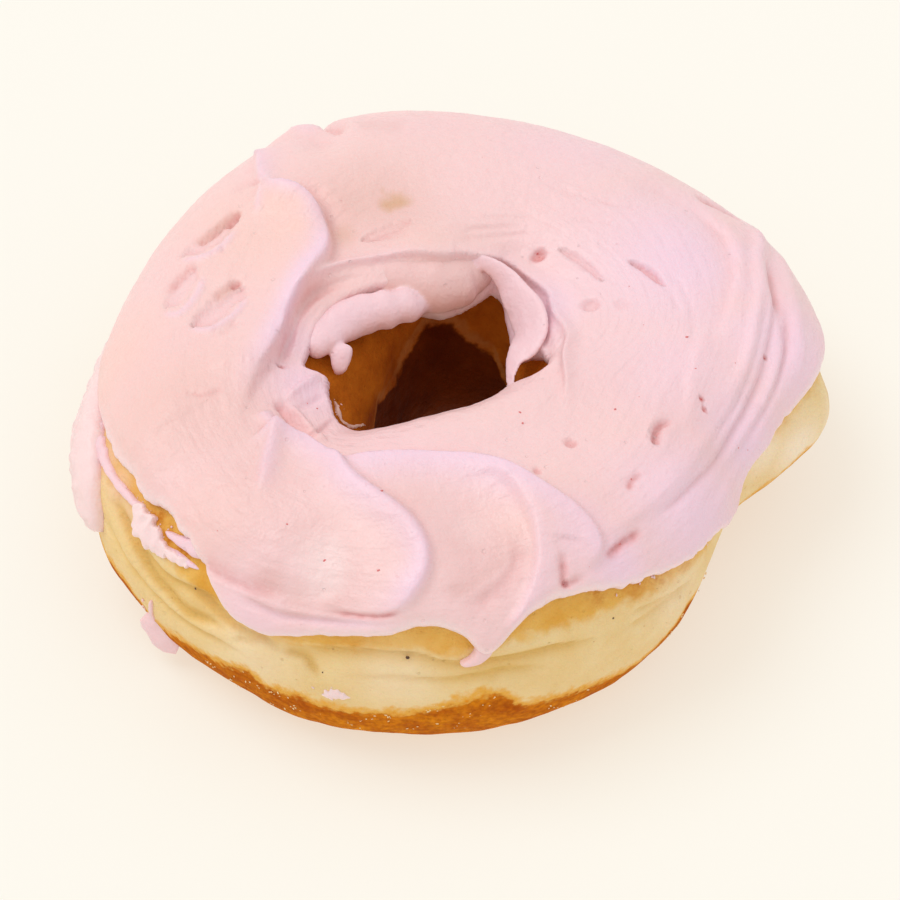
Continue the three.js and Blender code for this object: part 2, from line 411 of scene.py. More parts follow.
def objectPlace(tree):
    return addNode(tree, "ShaderNodeTexCoord").outputs["Object"]


def cloudNoise(tree, place, scale, detail):
    cloud = addNode(tree, "ShaderNodeTexNoise")
    for label, value in {"Vector": place, "Scale": scale, "Detail": detail}.items():
        feed(tree, cloud.inputs[label], value)
    return cloud.outputs["Fac"]


def newGroup(name, inputs, outputs):
    group = bpy.data.node_groups.new(name, "ShaderNodeTree")
    for label, value in inputs.items():
        socket = group.interface.new_socket(label, in_out="INPUT", socket_type="NodeSocketFloat")
        socket.default_value = value
    for label in outputs:
        group.interface.new_socket(label, in_out="OUTPUT", socket_type="NodeSocketFloat")
    return group, addNode(group, "NodeGroupInput").outputs, addNode(group, "NodeGroupOutput").inputs


def placeGroup(tree, group, **values):
    node = addNode(tree, "ShaderNodeGroup", node_tree=group)
    for label, value in values.items():
        feed(tree, node.inputs[label], value)
    return node.outputs


def mottleGroup():  # soft uneven patches, 0 to 1
    group, given, result = newGroup("softMottle", {"Size": 5.0, "Detail": 3.0, "Contrast": 1.0}, ["Mask"])
    scale = calculate(group, "DIVIDE", 1 / mm, given["Size"])
    cloud = cloudNoise(group, objectPlace(group), scale, given["Detail"])
    spread = multiply(group, subtract(group, cloud, 0.5), given["Contrast"])
    feed(group, result["Mask"], add(group, spread, 0.5, clamp=True))
    return group


def speckGroup():  # scattered round specks, 1 inside a speck
    group, given, result = newGroup("tinySpecks", {"Spacing": 2.0, "Size": 0.2, "Share": 0.3}, ["Mask"])
    cells = addNode(group, "ShaderNodeTexVoronoi")
    feed(group, cells.inputs["Vector"], objectPlace(group))
    feed(group, cells.inputs["Scale"], calculate(group, "DIVIDE", 1 / mm, given["Spacing"]))
    draw = addNode(group, "ShaderNodeSeparateColor")
    feed(group, draw.inputs[0], cells.outputs["Color"])
    chosen = calculate(group, "LESS_THAN", draw.outputs[0], given["Share"])
    radius = calculate(group, "DIVIDE", given["Size"], given["Spacing"])
    varied = multiply(group, radius, add(group, draw.outputs[1], 0.5))
    inside = remap(group, cells.outputs["Distance"], varied, multiply(group, varied, 0.5))
    feed(group, result["Mask"], multiply(group, inside, chosen))
    return group


def grainGroup():  # fine relief as a height in metres
    group, given, result = newGroup("fineGrain", {"Coarse": 1.2, "Fine": 0.35, "Depth": 0.05}, ["Height"])
    place = objectPlace(group)
    coarse, fine = (cloudNoise(group, place, calculate(group, "DIVIDE", 1 / mm, given[label]), 2.0)
                    for label in ("Coarse", "Fine"))
    total = add(group, coarse, multiply(group, fine, 0.35))
    feed(group, result["Height"], multiply(group, total, multiply(group, given["Depth"], mm)))
    return group


def streakGroup():  # marks of the knife that run round the ring, as a height in metres
    inputs = {"Across": 0.0, "Spacing": 0.8, "Length": 9.0, "Depth": 0.05}
    group, given, result = newGroup("knifeStreaks", inputs, ["Height"])
    place = addNode(group, "ShaderNodeSeparateXYZ")
    feed(group, place.inputs[0], objectPlace(group))
    drawn = addNode(group, "ShaderNodeCombineXYZ")
    perLength = calculate(group, "DIVIDE", 1 / mm, given["Length"])
    for axis in (0, 1):
        feed(group, drawn.inputs[axis], multiply(group, place.outputs[axis], perLength))
    feed(group, drawn.inputs[2], calculate(group, "DIVIDE", given["Across"], given["Spacing"]))
    cloud = cloudNoise(group, drawn.outputs[0], 1.0, 3.0)
    feed(group, result["Height"], multiply(group, cloud, multiply(group, given["Depth"], mm)))
    return group


softMottle = mottleGroup()
tinySpecks = speckGroup()
fineGrain = grainGroup()
knifeStreaks = streakGroup()


def mottle(tree, size, detail, contrast):
    return placeGroup(tree, softMottle, Size=size, Detail=detail, Contrast=contrast)["Mask"]


def specks(tree, spacing, size, share):
    return placeGroup(tree, tinySpecks, Spacing=spacing, Size=size, Share=share)["Mask"]


def grain(tree, coarse, fine, depth):
    return placeGroup(tree, fineGrain, Coarse=coarse, Fine=fine, Depth=depth)["Height"]


def newMaterial(name):
    material = bpy.data.materials.new(name)
    material.use_nodes = True
    return material, material.node_tree, material.node_tree.nodes["Principled BSDF"]


def addBump(tree, surface, height, strength=1.0):
    bump = addNode(tree, "ShaderNodeBump")
    feed(tree, bump.inputs["Height"], height)
    bump.inputs["Strength"].default_value = strength
    bump.inputs["Distance"].default_value = 1.0
    tree.links.new(bump.outputs["Normal"], surface.inputs["Normal"])


dough = {
    "ringSteps": 600,
    "sectionSteps": 156,
    "frontShare": 0.3,
    "lumps": [(9.0, 0.32), (3.2, 0.12), (1.3, 0.035)],  # size and height in mm
    # rolls close together where the crust shows, wide apart under the frosting and beneath
    "rollShares": [0, 0.47, 0.6, 0.9, 1.0],
    "rollAt": [-60, 55, 125, 215, 300],
    # overlapping layers of the pale waist: each path is a layer's lower lip
    "folds": [
        mark(-0.8, (0.35, 1.7), [(240, 20), (248, 24), (254, 27), (264, 28), (270, 23), (278, 22),
             (286, 22), (292, 19), (298, 16)], power=1.3),
        mark(-1.1, (1.8, 0.4), [(206, 27), (208, 26), (214, 21), (218, 14), (223, 10), (227, 8), (232, 14),
             (236, 13)], power=1.3),
        mark(-1.0, (1.6, 0.4), [(226, 27), (230, 24), (234, 20), (238, 18), (241, 20), (245, 15)],
             power=1.3),
        mark(-0.7, (1.2, 0.5), [(244, 16), (246, 17), (248, 17), (249, 12), (251, 4)]),
        mark(-0.5, 0.6, [(236, 12), (238, 14), (241, 19)]),
        mark(-0.75, (0.35, 1.3), [(208, 29), (211, 24), (215, 22), (219, 22), (222, 22), (227, 26),
             (232, 28), (237, 26), (242, 21)], power=1.3, ragged=0.2),
        mark(-0.6, (0.3, 1.2), [(204, 17), (210, 12), (217, 5), (225, 2), (233, 5), (240, 3)], power=1.3,
             ragged=0.25),
        mark(-0.4, (0.3, 1.0), [(255, 12), (262, 15), (270, 13), (279, 15), (288, 11)], power=1.4,
             ragged=0.3),
        mark(-0.5, (0.3, 1.1), [(300, 22), (306, 18), (311, 14), (318, 9)], power=1.4, ragged=0.3),
        mark(-0.35, (0.5, 1.2), [(299, 14), (308, 12), (316, 10)]),
        mark(-0.2, 2.0, [(265, 5), (275, 10), (286, 8)]),
    ],
    # upper edge of the browned band at the foot, and lower edge of the golden shoulder
    "bandTop": [(0, -12), (20, -16), (45, -12), (70, -16), (95, -10), (120, -15), (150, -10), (180, -13),
                (200, -8), (212, -12), (216, -26), (219, -26), (224, -20), (230, -18), (235, -14),
                (239, -9), (241, -18), (247, -14), (254, -15), (262, -13), (268, -9), (272, -3), (276, 1),
                (279, -2), (282, -13), (287, -16), (292, -18), (297, -22), (303, -25), (308, -24),
                (311, -20), (315, -8), (325, -15), (340, -22), (349, -20), (352, -12), (354, -12),
                (357, -17)],
    "shoulder": [(0, 13), (5, 8), (15, 4), (60, 6), (120, 4), (180, 10), (192, 20), (199, 26), (203, 29),
                 (208, 32), (213, 35), (220, 33), (224, 30), (230, 26), (238, 19), (244, 22), (250, 25),
                 (256, 28), (264, 31), (270, 26), (275, 27), (280, 30), (288, 30), (296, 29), (303, 26),
                 (312, 21), (318, 19), (326, 13), (331, 8), (336, 12), (340, 13), (344, 12), (348, 13),
                 (352, 16), (357, 16)],
    # height in mm below which the wall of the hole is painted dark brown as painted shade
    "shadeTop": [(52, 10.8), (60, 13.2), (68, 14.0), (76, 15.4), (82, 16.8), (88, 18.2), (94, 18.5),
                (105, 19.2), (111, 18.0), (120, 17.3), (135, 16.4), (153, 15.8), (172, 16.4), (189, 17.5),
                (198, 15.1), (212, 12), (240, 8), (300, 6), (340, 7)],
    # pale, pink and dark patches: place, strength and radius
    "creamy": [((351, -1), 1.0, 4.5), ((346, 12), 0.8, 4.0), ((358, -4), 0.6, 4.0), ((262, 12), 0.4, 5.0),
               ((240, 6), 0.4, 5.0), ((312, 10), 0.4, 5.0)],
    "rosy": [((200, 33), 1.0, 3.0), ((206, 34), 1.0, 2.6), ((196, 28), 0.8, 3.0), ((211, 31), 0.6, 2.4)],
    "toasted": [((216, 41), 0.9, 1.5), ((178, 24), 0.9, 0.6), ((181, 31), 0.8, 0.6), ((185, 37), 0.7, 0.6),
                ((220, 40), 1.0, 1.4), ((224, 41), 1.0, 1.4), ((164, 28), 0.7, 1.5), ((176, 21), 0.7, 1.0),
                ((296, 39), 0.5, 1.6), ((303, 34), 0.6, 1.8), ((309, 30), 0.6, 1.8), ((315, 25), 0.4, 1.6)],
    # colours, and pairs of colours that uneven patches run between
    "pale": ((0.82, 0.58, 0.265), (0.88, 0.68, 0.37)),
    "golden": ((0.74, 0.36, 0.05), (0.84, 0.52, 0.14)),
    "brown": ((0.46, 0.09, 0.003), (0.83, 0.29, 0.009)),
    "upperWall": ((0.31, 0.066, 0.004), (0.52, 0.145, 0.010)),
    # painted shade: the very dark brown of the hole's low wall
    "shadedLowerWall": ((0.085, 0.011, 0.001), (0.15, 0.026, 0.002)),
    "warmPale": (0.84, 0.56, 0.21),
    # painted shade in the creases, along the fold lines and in the pores
    "creaseShade": (0.74, 0.45, 0.12),
    "foldLineShade": (0.66, 0.39, 0.09),
    "poreShade": (0.70, 0.42, 0.13),
    "toast": (0.55, 0.18, 0.015),
    "cream": (0.97, 0.80, 0.60),
    "rose": (0.86, 0.54, 0.37),
    "burnt": (0.27, 0.045, 0.002),
    "overBand": (0.82, 0.42, 0.07),
    "wallStrip": (0.50, 0.23, 0.075),
}


def makeDough():
    piece, ringIndex, sectionIndex = ringSheet("dough_ring", dough["ringSteps"], dough["sectionSteps"])
    share = np.arange(dough["sectionSteps"] + 1) / dough["sectionSteps"]
    rolls = np.interp(share, dough["rollShares"], dough["rollAt"])
    turn = evenTurns(dough["ringSteps"], dough["frontShare"])[ringIndex]
    roll = rolls[sectionIndex]
    points = ringPoint(turn, roll)
    normals = ringDirections(turn, roll)[2]
    crease = np.zeros(len(points))
    foldLine = np.zeros(len(points))
    for fold in dough["folds"]:
        crease += fold["size"] * strokeShare(points, normals, fold)
        if abs(fold["size"]) > 0.3:
            foldLine = np.maximum(foldLine, strokeShare(points, normals, {**fold, "width": 0.45}))
    lumps = np.zeros(len(points))
    for seed, (scale, size) in enumerate(dough["lumps"]):
        lumps += size * noiseAt(points, scale, seed)
    onFloor = smoothStep(points[:, 2], 0.0, 2.0)
    points += normals * ((crease + lumps) * onFloor)[:, None]
    points[:, 2] = np.maximum(points[:, 2], 0)
    placeVertices(piece, points)
    signedRoll = (roll + 180) % 360 - 180
    outside = np.cos(roll * degree) > 0
    band = (signedRoll - atTurns(dough["bandTop"], turn, 1.0)) * degree * sectionRadius
    shoulder = (signedRoll - atTurns(dough["shoulder"], turn, 1.5)) * degree * sectionRadius
    addAttribute(piece, "aboveBand", np.where(outside, band, np.minimum(band, 9)))
    addAttribute(piece, "aboveShoulder", shoulder)
    addAttribute(piece, "crease", np.clip(-crease, 0, 1))
    addAttribute(piece, "foldLine", foldLine)
    for label in ("creamy", "rosy", "toasted"):
        addAttribute(piece, label, patchMask(points, dough[label]))
    addAttribute(piece, "inHole", smoothStep(-np.cos(roll * degree), 0.0, 0.45))
    # height over the line where the painted shade on the hole's wall begins
    addAttribute(piece, "aboveShade", points[:, 2] - atTurns(dough["shadeTop"], turn, 1.5))
    closeRing(piece)
    return piece


def doughMaterial():
    material, tree, surface = newMaterial("friedDough")
    patches = mottle(tree, 4.0, 4.0, 2.2)
    ragged = mottle(tree, 1.6, 4.0, 1.6)
    crumbs = mottle(tree, 0.8, 3.0, 3.0)
    jitter = multiply(tree, subtract(tree, ragged, 0.5), 1.9)
    # the pale waist with its folds and pores; the creases, the fold lines and the pores get painted shade
    colour = mixColour(tree, patches, *dough["pale"])
    colour = tint(tree, colour, mottle(tree, 9.0, 2.0, 2.4), dough["warmPale"], 0.35)
    creased = remap(tree, readAttribute(tree, "crease"), 0.1, 0.8)
    colour = tint(tree, colour, creased, dough["creaseShade"], 0.75)
    foldLine = multiply(tree, readAttribute(tree, "foldLine"), add(tree, ragged, 0.2))
    colour = tint(tree, colour, foldLine, dough["foldLineShade"], 0.45)
    pores = specks(tree, 1.5, 0.17, 0.42)
    colour = tint(tree, colour, pores, dough["poreShade"], 0.55)
    # the golden shoulder and the patches
    golden = mixColour(tree, patches, *dough["golden"])
    toasted = multiply(tree, readAttribute(tree, "toasted"), add(tree, crumbs, 0.35))
    golden = tint(tree, golden, calculate(tree, "MINIMUM", toasted, 1.0), dough["toast"])
    aboveShoulder = add(tree, readAttribute(tree, "aboveShoulder"), jitter)
    colour = tint(tree, colour, remap(tree, aboveShoulder, -0.9, 1.1), golden)
    colour = tint(tree, colour, readAttribute(tree, "creamy"), dough["cream"])
    colour = tint(tree, colour, readAttribute(tree, "rosy"), dough["rose"], 0.75)
    # the browned band at the foot
    brown = mixColour(tree, patches, *dough["brown"])
    brown = tint(tree, brown, crumbs, dough["burnt"], 0.55)
    aboveBand = add(tree, readAttribute(tree, "aboveBand"), jitter)
    aboveBand = add(tree, aboveBand, subtract(tree, mottle(tree, 0.7, 3.0, 2.0), 0.5))
    colour = tint(tree, colour, remap(tree, aboveBand, 2.2, 0.5), dough["overBand"])
    inBand = remap(tree, aboveBand, 0.6, -0.5)
    colour = tint(tree, colour, inBand, brown)
    # the wall of the hole, painted darker low down as painted shade, with pale strips where the two tones
    # meet
    aboveShade = add(tree, readAttribute(tree, "aboveShade"), multiply(tree, jitter, 0.9))
    upperWall = mixColour(tree, patches, *dough["upperWall"])
    shadedLowerWall = mixColour(tree, patches, *dough["shadedLowerWall"])
    wall = mixColour(tree, remap(tree, aboveShade, 0.5, -0.5), upperWall, shadedLowerWall)
    toEdge = calculate(tree, "ABSOLUTE", subtract(tree, aboveShade, 1.1))
    strips = multiply(tree, remap(tree, toEdge, 1.3, 0.3), mottle(tree, 3.5, 3.0, 2.6))
    wall = tint(tree, wall, strips, dough["wallStrip"], 0.55)
    inHole = readAttribute(tree, "inHole")
    feed(tree, surface.inputs["Base Color"], tint(tree, colour, inHole, wall))
    rough = remap(tree, mottle(tree, 0.9, 3.0, 1.0), 0.2, 0.8, 0.46, 0.66)
    dull = multiply(tree, calculate(tree, "MAXIMUM", inHole, inBand), 0.34)
    feed(tree, surface.inputs["Roughness"], add(tree, rough, dull))
    setInputs(surface, {"Specular IOR Level": 0.06, "Subsurface Weight": 0.1,
                        "Subsurface Radius": (1.0, 0.45, 0.2), "Subsurface Scale": 1.5 * mm})
    height = subtract(tree, grain(tree, 0.9, 0.28, 0.34), multiply(tree, pores, 0.12 * mm))
    addBump(tree, surface, height, 0.8)
    return material


doughRing = makeDough()
doughRing.data.materials.append(doughMaterial())
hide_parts("dough")
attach(doughRing, "root")
print("dough ready:", len(doughRing.data.polygons), "faces")


frosting = {
    "ringSteps": 620,
    "topSteps": 150,
    "bottomSteps": 5,
    "frontShare": 0.3,
    "thickness": 2.3,
    "outerEdge": [(0, 14), (2, 13), (5, 10), (10, 8), (25, 5), (60, 5), (100, 6), (130, 7), (155, 10),
                  (168, 14), (180, 18), (187, 25), (191, 30), (195, 34), (200, 37), (204, 39.5), (208, 43),
                  (211, 42), (214, 43), (217, 47), (221, 47), (226, 46), (229, 44), (231, 39), (234, 33),
                  (237, 28), (242, 26), (250, 33), (255, 35), (261, 37), (265, 41), (269, 41), (273, 36),
                  (275, 28), (277, 27), (280, 35), (283, 41), (288, 44), (294, 42), (299, 38), (305, 35),
                  (311, 31), (317, 28), (322, 25), (327, 17), (331, 13), (336, 18), (340, 19), (344, 18),
                  (347, 19), (348, 20), (350, 21), (352, 20), (354, 18), (357, 16)],
    "innerEdge": [(5, 174), (20, 174), (42, 172), (56, 166), (66, 164), (74, 169), (82, 173), (90, 174),
                  (102, 174), (116, 169), (125, 161), (136, 154), (147, 147), (157, 140), (167, 136),
                  (174, 135), (182, 135), (187, 136), (192, 136), (196, 138), (198.5, 146), (200, 151),
                  (217, 151), (222, 153), (226, 159), (231, 165), (240, 170), (270, 174), (300, 173),
                  (312, 171), (318, 168), (323, 164), (328, 159), (332, 154), (336, 150), (341, 148),
                  (347, 153), (352, 160), (356, 167), (359, 173)],
    "edgeWidth": [(0, 2.0), (100, 3), (180, 4), (190, 4.5), (208, 4), (216, 2.0), (228, 1.6), (240, 2.0),
                  (290, 2.0), (300, 1.4), (312, 1.3), (330, 1.8)],
    "torn": [(0, 0.12), (20, 0.05), (170, 0.05), (190, 0.2), (208, 0.25), (214, 0.45), (230, 0.45),
             (236, 0.12), (285, 0.12), (294, 0.3), (304, 0.45), (324, 0.4), (335, 0.35), (350, 0.45),
             (357, 0.2)],
    "innerTorn": [(0, 0.1), (180, 0.1), (190, 0.35), (200, 0.35), (222, 0.3), (230, 0.05), (325, 0.05),
                  (335, 0.1), (350, 0.3), (358, 0.3)],
    "rimSize": [(0, 0.2), (45, 0), (56, 0.2), (66, 1.4), (77, 3.2), (89, 4.6), (100, 5.1), (109, 4.9),
                (120, 3.8), (135, 2.0), (150, 0.8), (160, 0.2), (170, 0), (210, 0.2), (225, 0.4), (247, 1),
                (270, 1.8), (292, 2), (315, 1.8), (326, 1.4), (336, 0.3), (348, 0.2)],
    "rimRoll": 150,
    "rimHalfRoll": 20,
    "innerEdgeWidth": 1.6,
    "swell": [(14.0, 0.28, 5), (5.0, 0.1, 6), (1.2, 0.045, 9)],  # size, height and seed of uneven waves
    "edgeCrowding": 0.09,
    "edgeSink": 0.5,
    "underDepth": 1.4,
    "cavityShadeBlur": 10,
    # colours laid over one another in this order by their masks, each with its strength
    "overlays": {
        "peach": (0.8, (0.90, 0.575, 0.485)), "lilac": (0.85, (0.87, 0.62, 0.75)),
        # the first colour below, a darker rose, is partly the frosting's tone and partly painted shade in
        # scoops and under the hanging lip
        "rose": (0.9, (0.76, 0.47, 0.45)), "thin": (0.6, (0.93, 0.74, 0.73)),
        # the first colour below is a painted highlight just inside the outer edge
        "rimHighlight": (0.6, (0.96, 0.80, 0.81)), "tan": (0.9, (0.68, 0.40, 0.26)),
        # the two colours below are painted shade: darker where the hanging lip faces down, and in hollows
        "undersideShade": (0.55, (0.62, 0.26, 0.16)), "cavityShade": (0.45, (0.78, 0.41, 0.40)),
    },
    "base": ((0.87, 0.59, 0.575), (0.87, 0.575, 0.595)),
    "patch": (0.91, 0.65, 0.62),
    # a dark berry red: partly berry stain, partly painted shade in grooves and pits
    "berryStainAndShade": (0.66, 0.20, 0.19),
    "speck": (0.70, 0.22, 0.22),
}

# crests and grooves left by the knife
strokes = [
    # the broad ridge on the left and the thin crest that it starts from
    mark(2.1, (0.8, 4.4), [(135, 70), (134, 78), (132, 86), (132, 95), (134, 104), (138, 113), (146, 118),
         (157, 116), (167, 116), (177, 116), (186, 114), (194, 110), (202, 103), (208, 96), (215, 87)],
         fade=(0.1, 0.3)),
    mark(0.35, (0.7, 1.7), [(133, 68), (133, 78), (131, 87), (131, 95), (133, 104), (137, 112), (146, 117),
         (157, 115), (167, 115), (177, 115), (186, 113), (194, 109), (202, 102), (208, 95)],
         fade=(0.08, 0.25), lilac=1),
    mark(-0.7, (1.3, 0.8), [(130, 78), (128, 88), (127, 97), (129, 107), (133, 115)]),
    mark(1.0, (1.6, 0.4), [(127, 46), (128, 52), (131, 60), (134, 68), (135, 76)], power=1.5,
         fade=(0.05, 0.2), lilac=0.7),
    mark(0.4, (0.6, 0.3), [(134, 68), (139, 74), (144, 79)], power=1.5, lilac=0.5),
    # the crest round the hole and the crease inside it
    mark(1.1, (0.8, 0.45), [(172, 114), (164, 116), (152, 123), (141, 132), (128, 142), (106, 149),
         (78, 147), (65, 146), (47, 148), (28, 150), (8, 156), (351, 146), (334, 128), (319, 124)],
         power=1.5, fade=(0.15, 0.1), lilac=0.25),
    mark(-1.0, (0.5, 1.8), [(198, 120), (188, 120), (178, 118), (170, 119), (160, 123), (151, 132),
         (140, 143)], fade=(0.15, 0.3), stain=0.1),
    mark(0.4, (0.6, 0.5), [(196, 126), (188, 126), (178, 124), (169, 126), (158, 131), (148, 138)],
         fade=(0.2, 0.4)),
    # tinted bottoms of the scoops, their darker rose being painted shade, the tan smear and the pink rim at
    # the back
    mark(0, 3.4, [(236, 80), (243, 72), (249, 66), (255, 62)], rose=0.5),
    mark(-0.35, (1.7, 0.8), [(238, 53), (242, 48), (246, 48), (251, 52), (255, 59)], rose=0.9),
    mark(-0.2, (1.9, 0.8), [(269, 52), (272, 54), (276, 58), (280, 63), (282, 70)], rose=0.9),
    mark(-0.1, (1.6, 1.1), [(115, 113), (110, 116), (105, 117.5), (99, 119)], tan=1.1, ragged=0.5,
         fade=(0.3, 0.4)),
    mark(-0.2, 1.5, [(109, 64), (106, 64), (102, 68), (98, 72)], rose=0.4),
    # the notch and the flap in the back edge
    mark(-1.9, (1.2, 0.8), [(114, 30), (113, 42), (112, 54), (111, 64)], fade=(0.05, 0.4)),
    mark(0.5, (3.2, 0.7), [(118, 36), (117, 46), (116, 56)], fade=(0.05, 0.4), lilac=0.4),
    # front swirls
    mark(0.9, (1.4, 0.6), [(212, 102), (216, 104), (220, 102), (225, 94), (229, 86), (231, 80)],
         fade=(0.1, 0.3), lilac=0.8),
    mark(1.5, (0.75, 2.3), [(217, 104), (219, 106), (223, 112), (229, 117), (239, 112), (246, 101),
         (255, 92), (261, 84), (265, 74), (266, 64), (264, 55), (261, 49), (256, 46)], fade=(0.06, 0.2),
         lilac=1),
    mark(1.3, (0.7, 3.2), [(236, 109), (247, 116), (256, 119), (268, 118), (280, 112), (288, 100),
         (294, 84), (297, 72), (298, 62), (297, 56), (293, 52)], fade=(0.12, 0.12), lilac=1),
    mark(0.9, (2.6, 0.7), [(268, 115), (281, 105), (285, 98), (287, 90), (288, 76), (287, 63), (285, 54),
         (282, 45), (279, 38)], fade=(0.25, 0.1), lilac=0.5),
    mark(-0.45, (1.3, 0.7), [(284, 70), (282, 60), (278, 53), (272, 47)], stain=0.2),
    mark(-0.7, 0.5, [(291, 61), (290, 53), (290, 49), (294, 49)], stain=0.5),
    mark(-0.5, (0.3, 0.3), [(251, 45), (256, 45), (260, 46), (263, 48)], stain=0.6),
    mark(0.25, 0.35, [(236, 44), (244, 42), (252, 43), (262, 45)], fade=(0.2, 0.2)),
    mark(-0.45, (0.6, 0.6), [(232, 42), (240, 40), (244, 39), (248, 40), (255, 42), (266, 44)], lilac=0.8),
    mark(-0.5, (1.2, 0.4), [(227, 45), (232, 45), (238, 45), (245, 48)], stain=0.3),
    mark(0.35, (1.0, 5.0), [(202, 94), (203, 83), (204, 72), (205, 60), (206, 51), (207, 44)]),
    mark(-0.25, 0.4, [(201, 76), (203, 83), (203, 92)], stain=0.2),
    mark(0.25, (1.2, 0.6), [(196, 84), (195, 96), (196, 105)]),
    # folds on the right
    mark(-0.5, (0.8, 0.3), [(18, 42), (13, 41), (5, 42), (358, 44), (349, 44), (342, 44), (331, 47),
         (322, 52), (314, 54), (309, 54)], fade=(0.15, 0.2), lilac=0.5),
    mark(-0.3, (0.3, 0.35), [(13, 46), (5, 47), (357, 49), (349, 49), (342, 49), (333, 52), (325, 56)],
         fade=(0.2, 0.3)),
    mark(-0.4, (0.35, 0.5), [(10, 36), (2, 35), (355, 36), (348, 36), (340, 36)], fade=(0.2, 0.3)),
    mark(0.35, (0.4, 0.6), [(8, 39), (0, 38), (352, 39), (344, 39), (336, 41), (328, 45)], fade=(0.2, 0.3),
         lilac=0.7),
    mark(-0.25, (0.3, 0.5), [(60, 100), (50, 96), (42, 88), (36, 78)], fade=(0.2, 0.3)),
    mark(-0.22, (0.3, 0.5), [(20, 92), (10, 84), (0, 80), (350, 78)], fade=(0.2, 0.4)),
    mark(-0.4, 0.3, [(24, 106), (19, 100), (14, 96)], fade=(0.2, 0.3), stain=0.1),
    mark(-0.6, (0.6, 0.35), [(307, 54), (302, 54), (298, 52)], stain=0.7),
    mark(-0.7, (1.3, 4.0), [(46, 74), (38, 64), (31, 59), (26, 57), (20, 59), (14, 60), (7, 63), (0, 67),
         (355, 70)], fade=(0.1, 0.2)),
    mark(0.7, (1.1, 0.4), [(34, 57), (28, 54), (24, 53), (17, 55), (9, 60), (2, 64), (355, 68)], power=1.5,
         fade=(0.2, 0.3), lilac=0.3),
    mark(0, 1.5, [(28, 58), (22, 60), (16, 61), (9, 63), (2, 67)], peach=1),
    mark(0.8, (1.2, 0.7), [(34, 26), (28, 34), (24, 39), (18, 46), (10, 48), (3, 51), (356, 52), (348, 53),
         (340, 53)], lilac=0.6),
    mark(-0.5, (1.0, 0.5), [(22, 39), (16, 41), (12, 42), (7, 39), (1, 38), (354, 38)], stain=0.15),
    mark(0.5, (1.4, 1.0), [(26, 27), (20, 30), (14, 32), (6, 32), (358, 30), (350, 30)]),
    mark(-0.6, (0.4, 1.0), [(38, 52), (34, 42), (31, 34)], stain=0.4),
    mark(0.5, (1.6, 1.0), [(357, 34), (351, 35), (347, 34), (342, 31), (334, 33), (326, 36), (319, 38)]),
    mark(0.5, (0.8, 1.6), [(340, 48), (332, 54), (324, 58), (314, 60), (305, 60), (297, 58)]),
    mark(0.35, (1.4, 0.6), [(2, 74), (352, 74), (344, 70), (336, 66), (330, 66)]),
    # wrinkles and scratches
    mark(-0.25, 0.3, [(86, 141), (72, 133), (60, 127)]),
    mark(-0.25, 0.35, [(88, 145), (72, 138), (54, 129)]),
    mark(0.2, 0.3, [(82, 130), (71, 124), (60, 120)]),
    mark(0.2, 0.3, [(96, 137), (80, 134), (66, 130)]),
    mark(-0.2, 0.35, [(50, 114), (41, 102), (33, 92)]),
    mark(-0.5, (0.4, 1.2), [(128, 130), (119, 134), (110, 136)], power=3, ragged=0.3),
    # the pad left of the hole
    mark(0.8, (0.4, 0.9), [(210, 121), (217, 125), (225, 129), (232, 131)], power=1.5),
    mark(-1.0, (1.2, 0.5), [(209, 114), (217, 118), (226, 120)], stain=0.35),
    mark(0.7, (0.4, 0.9), [(210, 120), (205, 133), (200, 144)], power=1.5),
    mark(-0.5, (0.35, 0.7), [(221, 114), (225, 128), (220, 148)], stain=0.15),
    mark(-0.4, (0.6, 0.3), [(214, 126), (213, 136), (210, 146)]),
    mark(-0.5, (0.8, 0.5), [(6, 162), (355, 158), (343, 147)]),
]

